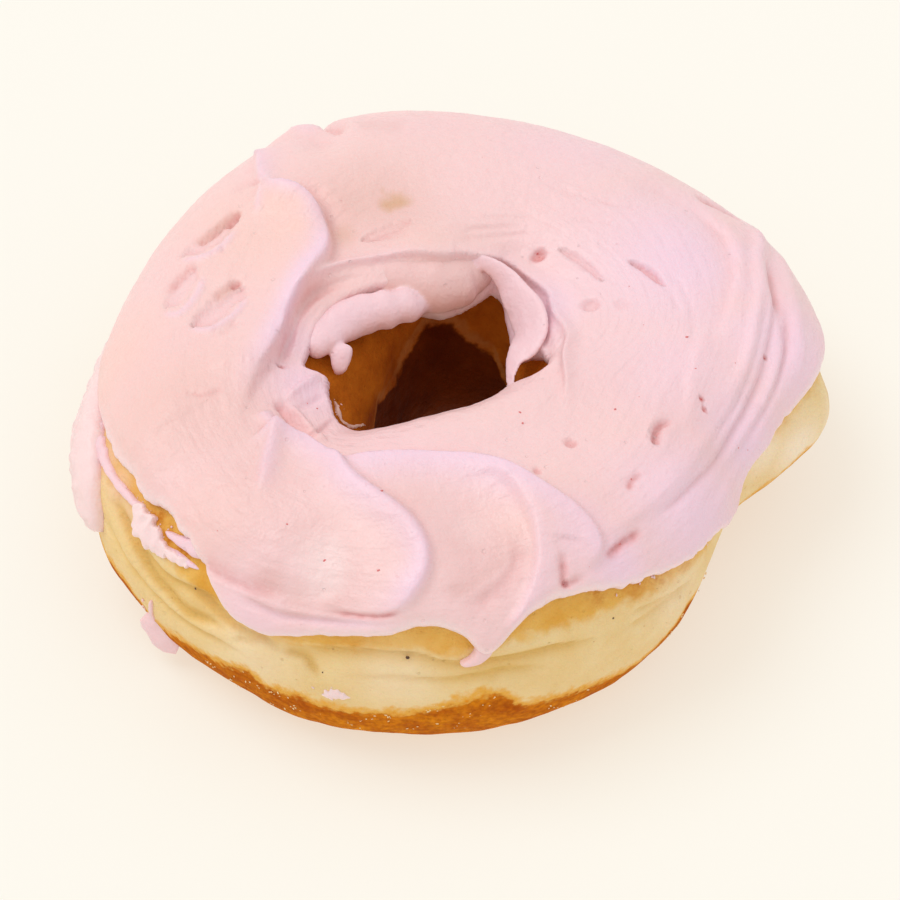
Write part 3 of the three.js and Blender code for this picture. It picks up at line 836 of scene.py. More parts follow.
# hollows left by the knife and by burst bubbles, most with a flat floor and a steep ragged wall
dimples = [
    mark(-0.75, (1.0, 1.5), [(158.5, 58), (156, 62), (151, 67), (145.5, 71)], power=4, pointed=True,
         ragged=0.5, lilac=0.2),
    mark(-0.5, (0.45, 0.4), [(155, 60), (152, 64), (149, 66), (147, 69)], fade=(0.1, 0.1), stain=0.25,
         tan=0.5),
    mark(-0.7, 0.6, [(149, 68), (146, 69), (144, 71)], stain=0.5, tan=0.4),
    mark(0.35, (0.5, 0.4), [(161, 58), (160, 67), (156, 73), (149, 75)], fade=(0.2, 0.2), lilac=0.6),
    mark(-0.6, (0.9, 1.4), [(174, 61), (170, 64), (163, 66)], power=4, pointed=True, ragged=0.5,
         lilac=0.2),
    mark(-0.5, 0.45, [(171, 60), (167, 61), (163, 64), (163, 67)], stain=0.4),
    mark(0.3, (0.5, 0.4), [(176, 60), (177, 68), (171, 73), (165, 72)], fade=(0.2, 0.2), lilac=0.6),
    mark(-0.8, (1.1, 1.6), [(181, 75), (178, 80), (173, 86), (168, 90)], power=4, pointed=True, ragged=0.5,
         lilac=0.2),
    mark(-0.6, 0.5, [(173, 80), (169, 84), (166, 88)], stain=0.3, tan=0.3),
    mark(-0.6, 0.5, [(168, 85), (166, 89)], stain=0.5),
    mark(0.35, (0.5, 0.4), [(182, 73), (183, 83), (178, 92), (171, 95)], fade=(0.2, 0.2), lilac=0.6),
    mark(-0.5, (0.7, 1.1), [(127, 128), (120, 131), (112, 132.5), (106, 132)], power=5, pointed=True,
         ragged=0.3, stain=0.08),
    mark(-0.3, 0.6, [(140, 60), (136, 64), (133, 69)], power=4, ragged=0.5),
    mark(-0.25, 0.5, [(186, 88), (183, 92), (180, 94)], power=4, ragged=0.5),
    mark(-0.55, (0.6, 0.5), [(43, 129), (33, 128), (22, 128)], power=4, ragged=0.3, pointed=True,
         stain=0.08),
    mark(-0.7, (0.55, 0.6), [(25, 107), (19, 100), (14, 96)], power=4, ragged=0.3, pointed=True,
         stain=0.15),
    mark(-0.25, 0.4, [(15, 95), (9, 92), (4, 89)], ragged=0.4),
    mark(-0.9, (0.4, 0.45), [(323, 73), (326, 75), (329, 74), (332, 69)], power=3, fade=(0.1, 0.4),
         stain=0.45),
    mark(0.25, 0.3, [(321, 73), (323, 77), (329, 78), (334, 73)]),
    mark(-0.3, 0.35, [(315, 71), (312, 71), (309, 69)], stain=0.7),
]

# the red of the pits is partly berry stain, partly painted shade in the pit
pits = [  # place, depth and radius of round pits, and how red they are
    ((12, 142), 0.65, 1.1, 0.12), ((48, 138), 0.6, 0.9, 0.8), ((9, 125), 0.15, 1.0, 0.1),
    ((308, 104), 0.45, 0.8, 0.35), ((294, 98), 0.35, 0.5, 0.4), ((341, 63), 0.4, 0.35, 0.9),
    ((339, 60), 0.35, 0.35, 0.9), ((356, 44), 0.3, 0.3, 0.9), ((28, 32), 0.4, 0.6, 0.8),
    ((290, 49), 0.5, 0.4, 0.4), ((196, 121), 0.5, 0.4, 0.5),
]

hollows = [  # wide shallow scoops: place, depth and radius
    ((249, 60), 1.3, 5.5), ((243, 72), 0.6, 6.0), ((275, 78), 1.4, 5.0), ((112, 113), 1.0, 8.0),
    ((235, 53), 0.6, 4.0), ((215, 72), 0.3, 7.0), ((327, 100), 0.5, 8.0), ((132, 113), 0.8, 3.5),
    ((116, 63), 1.2, 3.0),
]

bumps = [  # lumps on the surface: place, height and radius
    ((119, 42), 0.7, 2.4), ((207, 60), 0.5, 4.0), ((335, 42), 0.4, 4.0), ((200, 66), 0.5, 3.0),
    ((209, 50), 0.4, 2.5),
]

tints = {  # patches of a colour: place, strength and radius
    # the darker rose in the scoops is partly pink tone, partly painted shade
    "rose": [((241, 50), 1.0, 3.2), ((246, 48), 1.0, 3.2), ((251, 50), 0.9, 3.0), ((249, 58), 0.7, 4.6),
             ((275, 60), 0.7, 3.4), ((280, 68), 0.7, 3.4), ((275, 72), 0.7, 4.4), ((125, 105), 0.5, 4.0),
             ((110, 118), 0.4, 6.0), ((243, 70), 0.5, 5.0), ((208, 75), 0.45, 11.0),
             ((228, 72), 0.45, 9.0), ((330, 60), 0.3, 7.0), ((300, 70), 0.3, 6.0), ((220, 66), 0.35, 5.0),
             ((334, 108), 0.25, 7.0), ((262, 90), 0.4, 5.0)],
    "tan": [((131, 115), 0.5, 2.4), ((112, 112), 0.25, 7.0)],
    "lilac": [((20, 80), 0.9, 13.0), ((345, 80), 0.5, 12.0), ((320, 45), 1.0, 9.0), ((340, 35), 1.0, 8.0),
              ((0, 35), 0.9, 9.0), ((300, 48), 1.0, 4.0), ((205, 135), 0.9, 5.0), ((186, 128), 0.6, 4.0),
              ((20, 160), 0.9, 6.0), ((240, 36), 0.5, 6.0), ((60, 60), 0.4, 10.0), ((296, 66), 0.8, 4.0)],
    "peach": [((29, 50), 1.0, 2.4), ((25, 54), 1.1, 2.6), ((16, 56), 1.2, 2.6), ((8, 61), 1.0, 2.6),
              ((135, 92), 0.8, 2.4), ((142, 98), 0.7, 2.8), ((125, 100), 0.4, 6.0), ((140, 85), 0.7, 4.0),
              ((146, 92), 0.6, 4.0), ((150, 85), 0.5, 12.0), ((200, 70), 0.6, 11.0),
              ((185, 40), 0.6, 10.0), ((225, 60), 0.5, 8.0), ((105, 158), 0.5, 6.0), ((80, 160), 0.5, 5.0),
              ((325, 85), 0.3, 7.0), ((285, 75), 0.4, 4.0)],
}


def edgeProfile(distance, width, thickness):  # a rounded edge; below 0 outside it
    rest = 1 - np.clip(distance / width, 0, 1)
    return np.where(distance <= 0, np.maximum(distance * 1.5, -1.2), thickness * np.sqrt(1 - rest**2))


def tornEdge(turn, amount):  # small ragged shifts of an edge, in mm
    fine = np.arange(0, 360, 0.25)
    spots = np.stack([np.cos(fine * degree) * 45, np.sin(fine * degree) * 45, 0 * fine], axis=-1)
    ragged = noiseAt(spots, 1.7, 3) + 0.7 * noiseAt(spots, 0.7, 4)
    return np.interp(turn % 360, fine, ragged, period=360) * amount


def distancesToEdges(turn, roll):  # mm from the frosting's outer edge and from its edge in the hole
    fromOuter = (roll - atTurns(frosting["outerEdge"], turn, 1.0)) * degree * sectionRadius
    fromInner = (atTurns(frosting["innerEdge"], turn, 0.9) - roll) * degree * sectionRadius
    fromOuter = fromOuter + tornEdge(turn, atTurns(frosting["torn"], turn)) * bell(fromOuter, 1.5)
    fromInner = fromInner + tornEdge(turn * 3, atTurns(frosting["innerTorn"], turn)) * bell(fromInner, 1.5)
    return fromOuter, fromInner


def frostingShape(turn, roll):  # height over the dough and the masks that colour the frosting
    points = ringPoint(turn, roll)
    normals = ringDirections(turn, roll)[2]
    fromOuter, fromInner = distancesToEdges(turn, roll)
    rim = atTurns(frosting["rimSize"], turn, 9) * bell(roll - frosting["rimRoll"], frosting["rimHalfRoll"])
    full = frosting["thickness"] + rim
    atOuter = edgeProfile(fromOuter, atTurns(frosting["edgeWidth"], turn), full)
    height = np.minimum(atOuter, edgeProfile(fromInner, frosting["innerEdgeWidth"], full))
    relief = np.zeros(len(points))
    masks = {"stain": np.zeros(len(points))}
    masks.update({name: patchMask(points, patches) for name, patches in tints.items()})
    for line in strokes + dimples:
        share = strokeShare(points, normals, line)
        relief += line["size"] * share
        for name in masks:
            if name in line:
                masks[name] = np.maximum(masks[name], share * line[name])
    for place, depth, radius, redness in pits:
        share = np.exp(-((distanceTo(points, place) / radius) ** 6))
        relief -= depth * share
        masks["stain"] = np.maximum(masks["stain"], share * redness)
    for place, depth, radius in hollows:
        relief -= depth * patchShare(points, place, radius)
    for place, size, radius in bumps:
        relief += size * patchShare(points, place, radius)
    for scale, size, seed in frosting["swell"]:
        relief += size * noiseAt(points, scale, seed)
    # painted highlight: a paler band just inside the outer edge
    masks["rimHighlight"] = bell(fromOuter - 0.3, 0.8)
    height = height + relief * np.clip(height / full, 0, 1)
    return points, normals, height, masks


def blurGrid(grid, rounds):
    for _ in range(rounds):
        grid = (grid + np.roll(grid, 1, 0) + np.roll(grid, -1, 0)) / 3
        padded = np.pad(grid, ((0, 0), (1, 1)), mode="edge")
        grid = (grid + padded[:, :-2] + padded[:, 2:]) / 3
    return grid


def makeFrosting():
    topSteps = frosting["topSteps"]
    sectionSteps = topSteps + frosting["bottomSteps"]
    piece, ringIndex, sectionIndex = ringSheet("frosting_cap", frosting["ringSteps"], sectionSteps)
    turns = evenTurns(frosting["ringSteps"], frosting["frontShare"])
    perRoll = 1 / (degree * sectionRadius)
    low = atTurns(frosting["outerEdge"], turns, 1.0)
    low = (low - tornEdge(turns, atTurns(frosting["torn"], turns)) * perRoll)[:, None]
    high = atTurns(frosting["innerEdge"], turns, 0.9)
    high = (high + tornEdge(turns * 3, atTurns(frosting["innerTorn"], turns)) * perRoll)[:, None]
    # close together at both edges, so that the rounded lips stay round
    share = np.arange(topSteps + 1) / topSteps
    share = (share - frosting["edgeCrowding"] * np.sin(2 * math.pi * share))[None, :]
    roll = low + (high - low) * share
    turn = turns[:, None] + 0 * roll
    shape = roll.shape
    points, normals, height, masks = frostingShape(turn.ravel(), roll.ravel())
    height = height.reshape(shape)
    height[:, [0, -1]] = -frosting["edgeSink"]
    top = points.reshape(*shape, 3) + normals.reshape(*shape, 3) * height[..., None]
    # the underside lies just inside the dough
    grid = np.zeros((len(turns), sectionSteps + 1, 3))
    grid[:, :topSteps + 1] = top
    for step in range(1, frosting["bottomSteps"]):
        underRoll = low[:, 0] + (high[:, 0] - low[:, 0]) * (1 - step / frosting["bottomSteps"])
        inward = -ringDirections(turns, underRoll)[2]
        grid[:, topSteps + step] = ringPoint(turns, underRoll) + frosting["underDepth"] * inward
    grid[:, -1] = grid[:, 0]
    grid[-1] = grid[0]
    placeVertices(piece, grid[ringIndex, sectionIndex])
    column = np.minimum(sectionIndex, topSteps)
    masks["thick"] = height
    # painted shade: hollows lower than their blurred surroundings are coloured darker
    masks["cavityShade"] = blurGrid(height, frosting["cavityShadeBlur"]) - height
    masks["acrossKnife"] = roll * degree * sectionRadius
    for name, values in masks.items():
        addAttribute(piece, name, values.reshape(shape)[ringIndex, column])
    closeRing(piece)
    return piece


def frostingMaterial():
    material, tree, surface = newMaterial("strawberryFrosting")
    colour = mixColour(tree, mottle(tree, 16.0, 2.0, 2.2), *frosting["base"])
    colour = tint(tree, colour, mottle(tree, 4.0, 3.0, 1.8), frosting["patch"], 0.3)
    ranges = {"thin": ("thick", 1.4, 0.3), "cavityShade": ("cavityShade", 0.05, 0.6)}
    for label, (strength, other) in frosting["overlays"].items():
        if label in ranges:
            name, low, high = ranges[label]
            mask = remap(tree, readAttribute(tree, name), low, high)
        else:
            mask = readAttribute(tree, label)
        colour = tint(tree, colour, mask, other, strength)
    # dark berry red in grooves and pits: partly berry stain, partly painted shade in these hollows
    uneven = add(tree, mottle(tree, 1.0, 3.0, 2.2), 0.35, clamp=True)
    stain = multiply(tree, readAttribute(tree, "stain"), uneven)
    colour = tint(tree, colour, stain, frosting["berryStainAndShade"])
    colour = tint(tree, colour, specks(tree, 3.4, 0.16, 0.14), frosting["speck"], 0.55)
    feed(tree, surface.inputs["Base Color"], colour)
    sheen = remap(tree, mottle(tree, 2.5, 3.0, 1.2), 0.2, 0.8, 0.36, 0.5)
    feed(tree, surface.inputs["Roughness"], sheen)
    setInputs(surface, {"Subsurface Weight": 0.12, "Subsurface Radius": (1.0, 0.5, 0.45),
                        "Subsurface Scale": 0.9 * mm})
    across = readAttribute(tree, "acrossKnife")
    streaks = placeGroup(tree, knifeStreaks, Across=across, Spacing=1.1, Length=10.0, Depth=0.3)["Height"]
    height = add(tree, grain(tree, 1.4, 0.4, 0.28), streaks)
    bubbles = specks(tree, 2.4, 0.24, 0.26)
    height = subtract(tree, height, multiply(tree, bubbles, 0.12 * mm))
    addBump(tree, surface, height, 0.7)
    return material


frostingCap = makeFrosting()
pinkFrosting = frostingMaterial()
frostingCap.data.materials.append(pinkFrosting)
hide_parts("frosting")
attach(frostingCap, "root")
print("frosting ready:", len(frostingCap.data.polygons), "faces")


def spindle(name, alongSteps, roundSteps):
    # a ball to be drawn out along a path, with each vertex's share of the length and its angle round it
    form = bmesh.new()
    bmesh.ops.create_uvsphere(form, u_segments=roundSteps, v_segments=alongSteps, radius=1)
    piece = addPiece(name, form)
    x, y, z = readVertices(piece).T
    along = np.degrees(np.arcsin(np.clip(z, -1, 1))) / 180 + 0.5
    atPole = np.abs(z) > 0.99999
    return piece, along, np.where(atPole, 0, np.arctan2(y, x))


def roundedEnds(along, length, blunt):  # 1 in the middle, falling to 0 in a round end of that length
    toEnd = np.minimum(along, 1 - along) * length
    return np.sqrt(1 - (1 - np.clip(toEnd / blunt, 0, 1)) ** 2)


def followLine(stations, along, pointAt):
    # the stations' values at each share of the length, the direction there and the whole length in mm;
    # pointAt turns a station's values into its point
    line = smoothLine(stations, 12)
    lengths = np.concatenate([[0], np.cumsum(np.linalg.norm(np.diff(pointAt(line.T), axis=0), axis=1))])
    share = lengths / lengths[-1]

    def valuesAt(place):
        return np.array([np.interp(np.clip(place, 0, 1), share, column) for column in line.T])

    forward = unit(pointAt(valuesAt(along + 0.01)) - pointAt(valuesAt(along - 0.01)))
    return valuesAt(along), forward, lengths[-1]


def makeRun(name, run):
    # a tongue, thread or flake of frosting on the ring; stations are turn, roll, half width, thickness
    piece, along, angle = spindle(name, run.get("alongSteps", 60), run.get("roundSteps", 24))
    values, forward, length = followLine(run["stations"], along, lambda v: ringPoint(v[0], v[1]))
    turn, roll, halfWidth, thickness = values
    alongRing, alongSection, normal = ringDirections(turn, roll)
    sideways = np.cross(forward, normal)
    taper = roundedEnds(along, length, run.get("blunt", 1.5))
    offset = np.cos(angle) * halfWidth * taper
    spots = np.stack([along * length, np.sign(np.cos(angle)) * 3, 0 * along], axis=-1)
    offset *= 1 + run.get("ragged", 0.1) * noiseAt(spots, run.get("raggedScale", 1.2), 21)
    # the offset is walked over the ring's own surface, so that wide runs stay on it
    perTurn = np.linalg.norm(ringPoint(turn + 0.5, roll) - ringPoint(turn - 0.5, roll), axis=1)
    perRoll = np.linalg.norm(ringPoint(turn, roll + 0.5) - ringPoint(turn, roll - 0.5), axis=1)
    turn = turn + offset * np.einsum("ij,ij->i", sideways, alongRing) / perTurn
    roll = roll + offset * np.einsum("ij,ij->i", sideways, alongSection) / perRoll
    base = ringPoint(turn, roll)
    upper = np.maximum(np.sin(angle), 0) ** run.get("fullness", 0.8) * thickness
    lower = np.maximum(-np.sin(angle), 0) * run.get("sink", 0.6)
    lumps = 1 + run.get("lumps", 0.2) * noiseAt(base, 1.3, 22)
    height = (upper * lumps - lower) * taper
    placeVertices(piece, base + ringDirections(turn, roll)[2] * height[:, None])
    piece.data.materials.append(pinkFrosting)
    for label, usual in {"thick": 2, "lilac": 0, "tan": 0}.items():
        addAttribute(piece, label, run.get(label, usual) + 0 * along)
    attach(piece, "root")
    return piece


def makeCurl(name, curl):
    # a curl of frosting that hangs free; stations are x, y, z in mm from the ring's centre, and half width
    piece, along, angle = spindle(name, curl.get("alongSteps", 90), curl.get("roundSteps", 40))
    values, forward, length = followLine(curl["stations"], along, lambda v: v[:3].T)
    centre = values[:3].T
    sideways = unit(np.cross(forward, unit(np.array(curl["facing"], float))))
    outward = np.cross(sideways, forward)
    lumps = 1 + curl["lumps"] * noiseAt(centre, 2.2, 31)
    radius = values[3] * roundedEnds(along, length, curl.get("blunt", 1.0)) * lumps
    offset = sideways * (np.cos(angle) * radius)[:, None]
    offset += outward * (np.sin(angle) * radius * curl["flatness"])[:, None]
    placeVertices(piece, centre + offset)
    piece.data.materials.append(pinkFrosting)
    for label, usual in {"lilac": 0, "peach": 0, "rose": 0, "thick": 2}.items():
        addAttribute(piece, label, curl.get(label, usual) + 0 * along)
    return piece


runs = {
    "left_tongue": {"stations": [(166, 17, 2.5, 1.8), (176, 19, 3.2, 2.2), (182, 18, 3.6, 2.6),
                    (188, 16, 4.2, 2.9), (193, 16, 4.4, 2.9), (198, 14, 4.4, 2.6), (202, 11, 3.2, 2.2),
                    (206, 6, 1.2, 1.4)], "blunt": 2.0, "roundSteps": 40, "fullness": 0.6, "thick": 0.5},
    "left_thread": {"stations": [(183, 22, 1.2, 1.5), (188, 23.5, 1.5, 1.4), (192, 25.5, 1.5, 1.2),
                    (196, 28, 1.2, 1.0), (200, 31, 0.8, 0.8), (204, 33, 0.6, 0.8), (208, 35, 0.6, 0.8),
                    (211, 36.5, 0.5, 0.7), (214, 38, 0.8, 0.9)], "ragged": 0.3, "raggedScale": 0.8,
                    "lilac": 0.4},
    "smear_flake": {"stations": [(211.5, 37, 0.5, 0.7), (213.5, 35.5, 1.5, 0.9), (216, 33.5, 1.8, 1.0),
                    (219, 33, 1.1, 0.9), (221.5, 32.5, 0.6, 0.7)], "ragged": 0.5, "raggedScale": 0.8,
                    "lumps": 0.6, "thick": 0.3, "alongSteps": 110, "blunt": 0.4, "fullness": 0.35},
    "smear_chip": {"stations": [(220.5, 34.5, 0.35, 0.7), (223, 35.5, 0.65, 0.9), (226, 37.5, 0.5, 0.8)],
                   "ragged": 0.4, "raggedScale": 0.6, "lumps": 0.6, "blunt": 0.3, "fullness": 0.35,
                   "thick": 0.3},
    "crust_strand": {"stations": [(219, -3, 0.25, 0.3), (218.5, -10, 0.35, 0.4), (218, -17, 0.35, 0.4),
                     (217.5, -24, 0.5, 0.4)], "ragged": 0.3, "lilac": 0.2},
    "hole_glaze": {"stations": [(207, 156, 0.15, 0.3), (213, 158, 0.35, 0.35), (217, 161, 0.2, 0.3),
                   (218, 168, 0.35, 0.3), (213, 178, 0.15, 0.25)], "ragged": 0.8, "raggedScale": 0.6,
                   "lumps": 0.6, "tan": 0.6},
    "torn_spur": {"stations": [(219, 40, 0.3, 0.5), (222, 42, 0.6, 0.8), (225, 45, 0.9, 1.2),
                  (228, 47, 1.0, 1.6)], "ragged": 0.4, "lilac": 0.5},
    "torn_shard": {"stations": [(221, 36, 0.2, 0.5), (224, 37, 0.5, 0.7), (228, 39, 0.2, 0.4)],
                   "ragged": 0.3, "lilac": 0.8},
    "drip_hook": {"stations": [(276, 38, 1.7, 1.9), (276, 32, 1.3, 1.6), (275.2, 27, 1.0, 1.3),
                  (273.6, 24, 0.6, 1.0), (272, 23, 0.3, 0.7)], "blunt": 0.6},
    "front_smear": {"stations": [(250.8, -5, 0.4, 0.3), (252, -3, 0.9, 0.4), (253.4, -2, 0.8, 0.35),
                    (255.5, -2.5, 0.3, 0.25)], "ragged": 0.9, "raggedScale": 0.5, "lumps": 0.6,
                    "sink": 0.4, "thick": 0.3},
}
madeRuns = {name: makeRun(name, run) for name, run in runs.items()}
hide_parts("frosting_smear")

curls = {
    "hanging_curl": {"stations": [(-17.4, -1.7, 27.8, 0.9), (-16.5, -1.6, 28.6, 1.8),
                     (-15.4, -0.4, 28.9, 2.3), (-14.1, 1.3, 28.9, 2.4), (-12.5, 2.7, 28.9, 2.5),
                     (-10.4, 3.8, 28.9, 2.5), (-7.4, 4.7, 28.9, 2.5), (-4.9, 5.6, 28.7, 2.2),
                     (-2.9, 6.8, 28.3, 1.7), (-0.9, 7.9, 27.8, 0.9)], "facing": (0, -0.6, 0.8),
                     "flatness": 0.6, "lilac": 0.4, "lumps": 0.25},
    # the bulb's rose is painted shade under the lip, with a pinker tone
    "hanging_bulb": {"stations": [(-13.5, 8.4, 29.5, 0.9), (-11.2, 9.0, 29.6, 1.9), (-8.5, 9.4, 29.5, 2.6),
                     (-5.7, 9.2, 29.4, 3.1), (-3.3, 9.0, 29.1, 3.6), (-1.4, 9.1, 28.9, 3.9),
                     (0.7, 10.1, 28.6, 3.8), (2.4, 11.2, 28.4, 3.4), (4.0, 11.9, 28.2, 2.7),
                     (5.1, 12.3, 27.9, 1.9), (6.0, 12.7, 27.5, 0.9)], "facing": (0, -0.6, 0.8),
                     "flatness": 0.62, "peach": 0.1, "rose": 0.5, "lumps": 0.08},
    "curl_hook": {"stations": [(-13.2, -0.8, 28.6, 1.6), (-13.2, -2.2, 27.8, 1.5),
                  (-13.4, -3.4, 27.0, 1.2), (-13.8, -4.1, 26.2, 0.6)], "facing": (0, -0.6, 0.8),
                  "flatness": 0.5, "lilac": 0.4, "lumps": 0.2},
    "right_film": {"stations": [(0.1, 12.7, 30.6, 0.5), (3.2, 12.0, 30.5, 0.8), (5.7, 10.7, 30.2, 1.2),
                   (7.5, 9.0, 29.6, 1.7), (8.8, 6.6, 29.0, 2.3), (10.0, 4.4, 28.5, 2.8),
                   (10.6, 1.9, 28.1, 2.9), (9.8, -0.6, 27.8, 2.5), (8.5, -2.4, 27.2, 1.5),
                   (8.0, -4.2, 26.6, 0.9), (7.9, -6.6, 26.0, 0.6), (7.8, -8.6, 26.0, 0.6)],
                   # the film's rose is painted shade under the lip
                   "facing": (-0.65, -0.35, 0.7), "flatness": 0.25, "lilac": 0.5, "rose": 0.2,
                   "lumps": 0.1},
    "loose_flake": {"stations": [(-37.3, -26.9, 7.6, 1.2), (-36.7, -27.9, 6.4, 1.8),
                    (-35.5, -29.0, 4.8, 1.9), (-34.4, -29.6, 3.4, 1.7), (-33.9, -29.9, 2.8, 1.4)],
                    "facing": (-0.6, -0.7, 0.35), "flatness": 0.2, "lilac": 0.3, "lumps": 0.6,
                    "blunt": 0.3, "alongSteps": 8, "roundSteps": 9},
}


def readValues(piece, name):
    values = np.zeros(len(piece.data.vertices), np.float32)
    piece.data.attributes[name].data.foreach_get("value", values)
    return values


def fusePieces(name, pieces):  # one smooth form out of several that run into each other
    form = bmesh.new()
    for piece in pieces:
        form.from_mesh(piece.data)
    spots = np.vstack([readVertices(piece) for piece in pieces])
    nearest = kdtree.KDTree(len(spots))
    for index, spot in enumerate(spots):
        nearest.insert(spot, index)
    nearest.balance()
    fused = addPiece(name, form)
    blend = fused.modifiers.new("blend", "REMESH")
    blend.mode = "VOXEL"
    blend.voxel_size = 0.2 * mm
    soften = fused.modifiers.new("soften", "SMOOTH")
    soften.iterations = 9
    fused.data = bpy.data.meshes.new_from_object(fused.evaluated_get(bpy.context.evaluated_depsgraph_get()))
    fused.data.name = name
    fused.modifiers.clear()
    source = [nearest.find(spot)[1] for spot in readVertices(fused)]
    for label in ("lilac", "peach", "rose", "thick"):
        values = np.concatenate([readValues(piece, label) for piece in pieces])[source]
        if label in fused.data.attributes:
            fused.data.attributes.remove(fused.data.attributes[label])
        addAttribute(fused, label, values)
    # painted shade: the lip is coloured darker where it faces down and towards the front
    facing = np.zeros(len(fused.data.vertices) * 3, np.float32)
    fused.data.vertex_normals.foreach_get("vector", facing)
    addAttribute(fused, "undersideShade", smoothStep(-facing.reshape(-1, 3)[:, 1:] @ (1.0, 0.6), -0.15, 0.95))
    fused.data.shade_smooth()
    fused.data.materials.clear()
    fused.data.materials.append(pinkFrosting)
    for piece in pieces:
        bpy.data.objects.remove(piece)
    return fused


hanging = {name: makeCurl(name, curl) for name, curl in curls.items()}
lipParts = [hanging.pop(name) for name in ("hanging_curl", "hanging_bulb", "curl_hook", "right_film")]
hanging["hanging_lip"] = fusePieces("hanging_lip", lipParts)
for piece in hanging.values():
    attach(piece, "root")
hanging["loose_flake"].data.shade_flat()
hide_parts("frosting_flake")
print("runs and curls ready")


def scatterMaterial(name, look):
    material, tree, surface = newMaterial(name)
    colour = mixColour(tree, mottle(tree, 0.6, 2.0, 2.0), *look["colours"])
    feed(tree, surface.inputs["Base Color"], colour)
    setInputs(surface, {"Roughness": look["roughness"]})
    addBump(tree, surface, grain(tree, 0.4, 0.15, 0.05), 0.4)
    return material


def surfaceSpot(turn, roll, onFrosting):  # a point on the surface and the outward direction there
    turn, roll = np.array([float(turn)]), np.array([float(roll)])
    if onFrosting:
        points, normals, height, _ = frostingShape(turn, roll)
        return (points + normals * height[:, None])[0], normals[0]
    return ringPoint(turn, roll)[0], ringDirections(turn, roll)[2][0]


def addGrain(form, spot, normal, size, shape):  # one grain, turned at random and pressed in
    lie = Vector(normal).to_track_quat("Z", "Y").to_matrix().to_4x4()
    angles = [random.uniform(-0.5, 0.5), random.uniform(-0.5, 0.5), random.uniform(0, 6.3)]
    spin = Euler(angles).to_matrix().to_4x4()
    stretch = Matrix.Diagonal((*(size * mm * part for part in shape), 1))
    place = Matrix.Translation(Vector((spot + ringCentre) * mm)) @ lie @ spin @ stretch
    bmesh.ops.create_icosphere(form, subdivisions=1, radius=1, matrix=place)


def finishGrains(name, form, material):
    piece = addPiece(name, form)
    piece.data.materials.append(material)
    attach(piece, "root")
    return piece


# clusters of sugar on and above the browned band: grains in each, sizes in mm, and degrees of turn and roll
sugar = {"clusters": 260, "grains": (1, 1, 2, 3, 6), "size": (0.09, 0.25), "shape": (1, 0.5, 0.4),
         "overBand": (-32, 4, -8), "turnSpread": 1.1, "rollSpread": 2.2, "lowest": 0.6,
         "colours": ((0.88, 0.60, 0.26), (0.95, 0.79, 0.48)), "roughness": 0.5}

random.seed(7)
sugarForm = bmesh.new()
for _ in range(sugar["clusters"]):
    middleTurn = random.uniform(0, 360)
    bandTop = atTurns(dough["bandTop"], np.array([middleTurn]), 1.0)[0]
    middleRoll = bandTop + random.triangular(*sugar["overBand"])
    for _ in range(random.choice(sugar["grains"])):
        turn = middleTurn + random.gauss(0, sugar["turnSpread"])
        spot, normal = surfaceSpot(turn, middleRoll + random.gauss(0, sugar["rollSpread"]), False)
        if spot[2] > sugar["lowest"]:
            addGrain(sugarForm, spot, normal, random.uniform(*sugar["size"]), sugar["shape"])
finishGrains("sugar_grains", sugarForm, scatterMaterial("sugarCrystal", sugar))

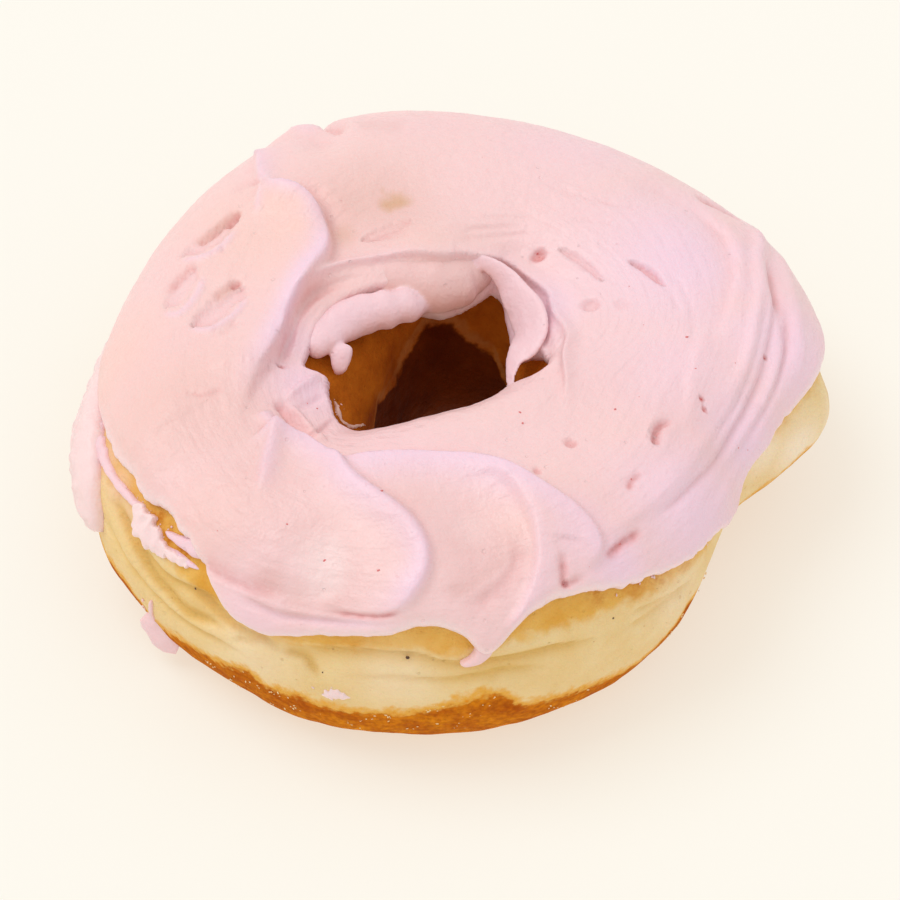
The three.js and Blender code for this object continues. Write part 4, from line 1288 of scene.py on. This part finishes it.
# flecks of berry in the frosting: turn and roll
berries = {
    "places": [(16, 116), (0, 110), (341, 63), (339, 60), (352, 56), (356, 44), (338, 39), (28, 32),
               (212, 134), (215, 138), (163, 142), (239, 74), (248, 64), (229, 59), (255, 93), (258, 62),
               (231, 124), (356, 82), (347, 71), (302, 136), (300, 130), (327, 96), (48, 138), (50, 137),
               (46, 139), (308, 104), (312, 72), (290, 49), (324, 75), (302, 54)],
    "size": (0.14, 0.3), "shape": (1, 0.7, 0.4), "sunk": 0.05,
    "colours": ((0.62, 0.10, 0.10), (0.75, 0.25, 0.24)), "roughness": 0.4,
}
berryForm = bmesh.new()
for turn, roll in berries["places"]:
    spot, normal = surfaceSpot(turn, roll, True)
    spot = spot - berries["sunk"] * normal
    addGrain(berryForm, spot, normal, random.uniform(*berries["size"]), berries["shape"])
finishGrains("berry_flecks", berryForm, scatterMaterial("berryFleck", berries))

# crumbs of frosting along its torn edges: turn and roll, their spread, and how many
crumbs = {
    "beds": [((216, 38), (3.0, 2.0), 26), ((222, 40), (2.5, 1.8), 18), ((305, 37), (2.5, 2.0), 14),
             ((311, 32), (2.5, 2.0), 14), ((318, 26), (2.5, 2.0), 14), ((325, 18), (2.0, 2.0), 10),
             ((193, 38), (3.0, 1.5), 8), ((346, 20), (5.0, 1.5), 12), ((213, 158), (3.5, 2.5), 16),
             ((252, -4), (1.2, 2.5), 10), ((217, -22), (1.5, 4.0), 12)],
    "size": (0.08, 0.4, 0.14), "shape": (1, 0.7, 0.35), "thick": 2.0,
}
crumbForm = bmesh.new()
for (turn, roll), (turnSpread, rollSpread), count in crumbs["beds"]:
    for _ in range(count):
        spot, normal = surfaceSpot(random.gauss(turn, turnSpread), random.gauss(roll, rollSpread), False)
        addGrain(crumbForm, spot, normal, random.triangular(*crumbs["size"]), crumbs["shape"])
frostingCrumbs = finishGrains("frosting_crumbs", crumbForm, pinkFrosting)
addAttribute(frostingCrumbs, "thick", np.full(len(frostingCrumbs.data.vertices), crumbs["thick"]))

# single dark specks in the crust: turn, roll and size in mm
darkSpecks = {
    "places": [(264, 26, 0.3), (272, 29, 0.17), (298, 24, 0.18), (228, 28, 0.17), (234, -12, 0.15),
               (204, 20, 0.15), (251, 11, 0.12), (285, 5, 0.12)],
    "shape": (1, 0.9, 0.7), "sunk": 0.15,
    "colours": ((0.07, 0.025, 0.01), (0.14, 0.06, 0.025)), "roughness": 0.5,
}
speckForm = bmesh.new()
for turn, roll, size in darkSpecks["places"]:
    spot, normal = surfaceSpot(turn, roll, False)
    addGrain(speckForm, spot - darkSpecks["sunk"] * normal, normal, size, darkSpecks["shape"])
finishGrains("dark_specks", speckForm, scatterMaterial("burntSpeck", darkSpecks))
print("grains and flecks ready")
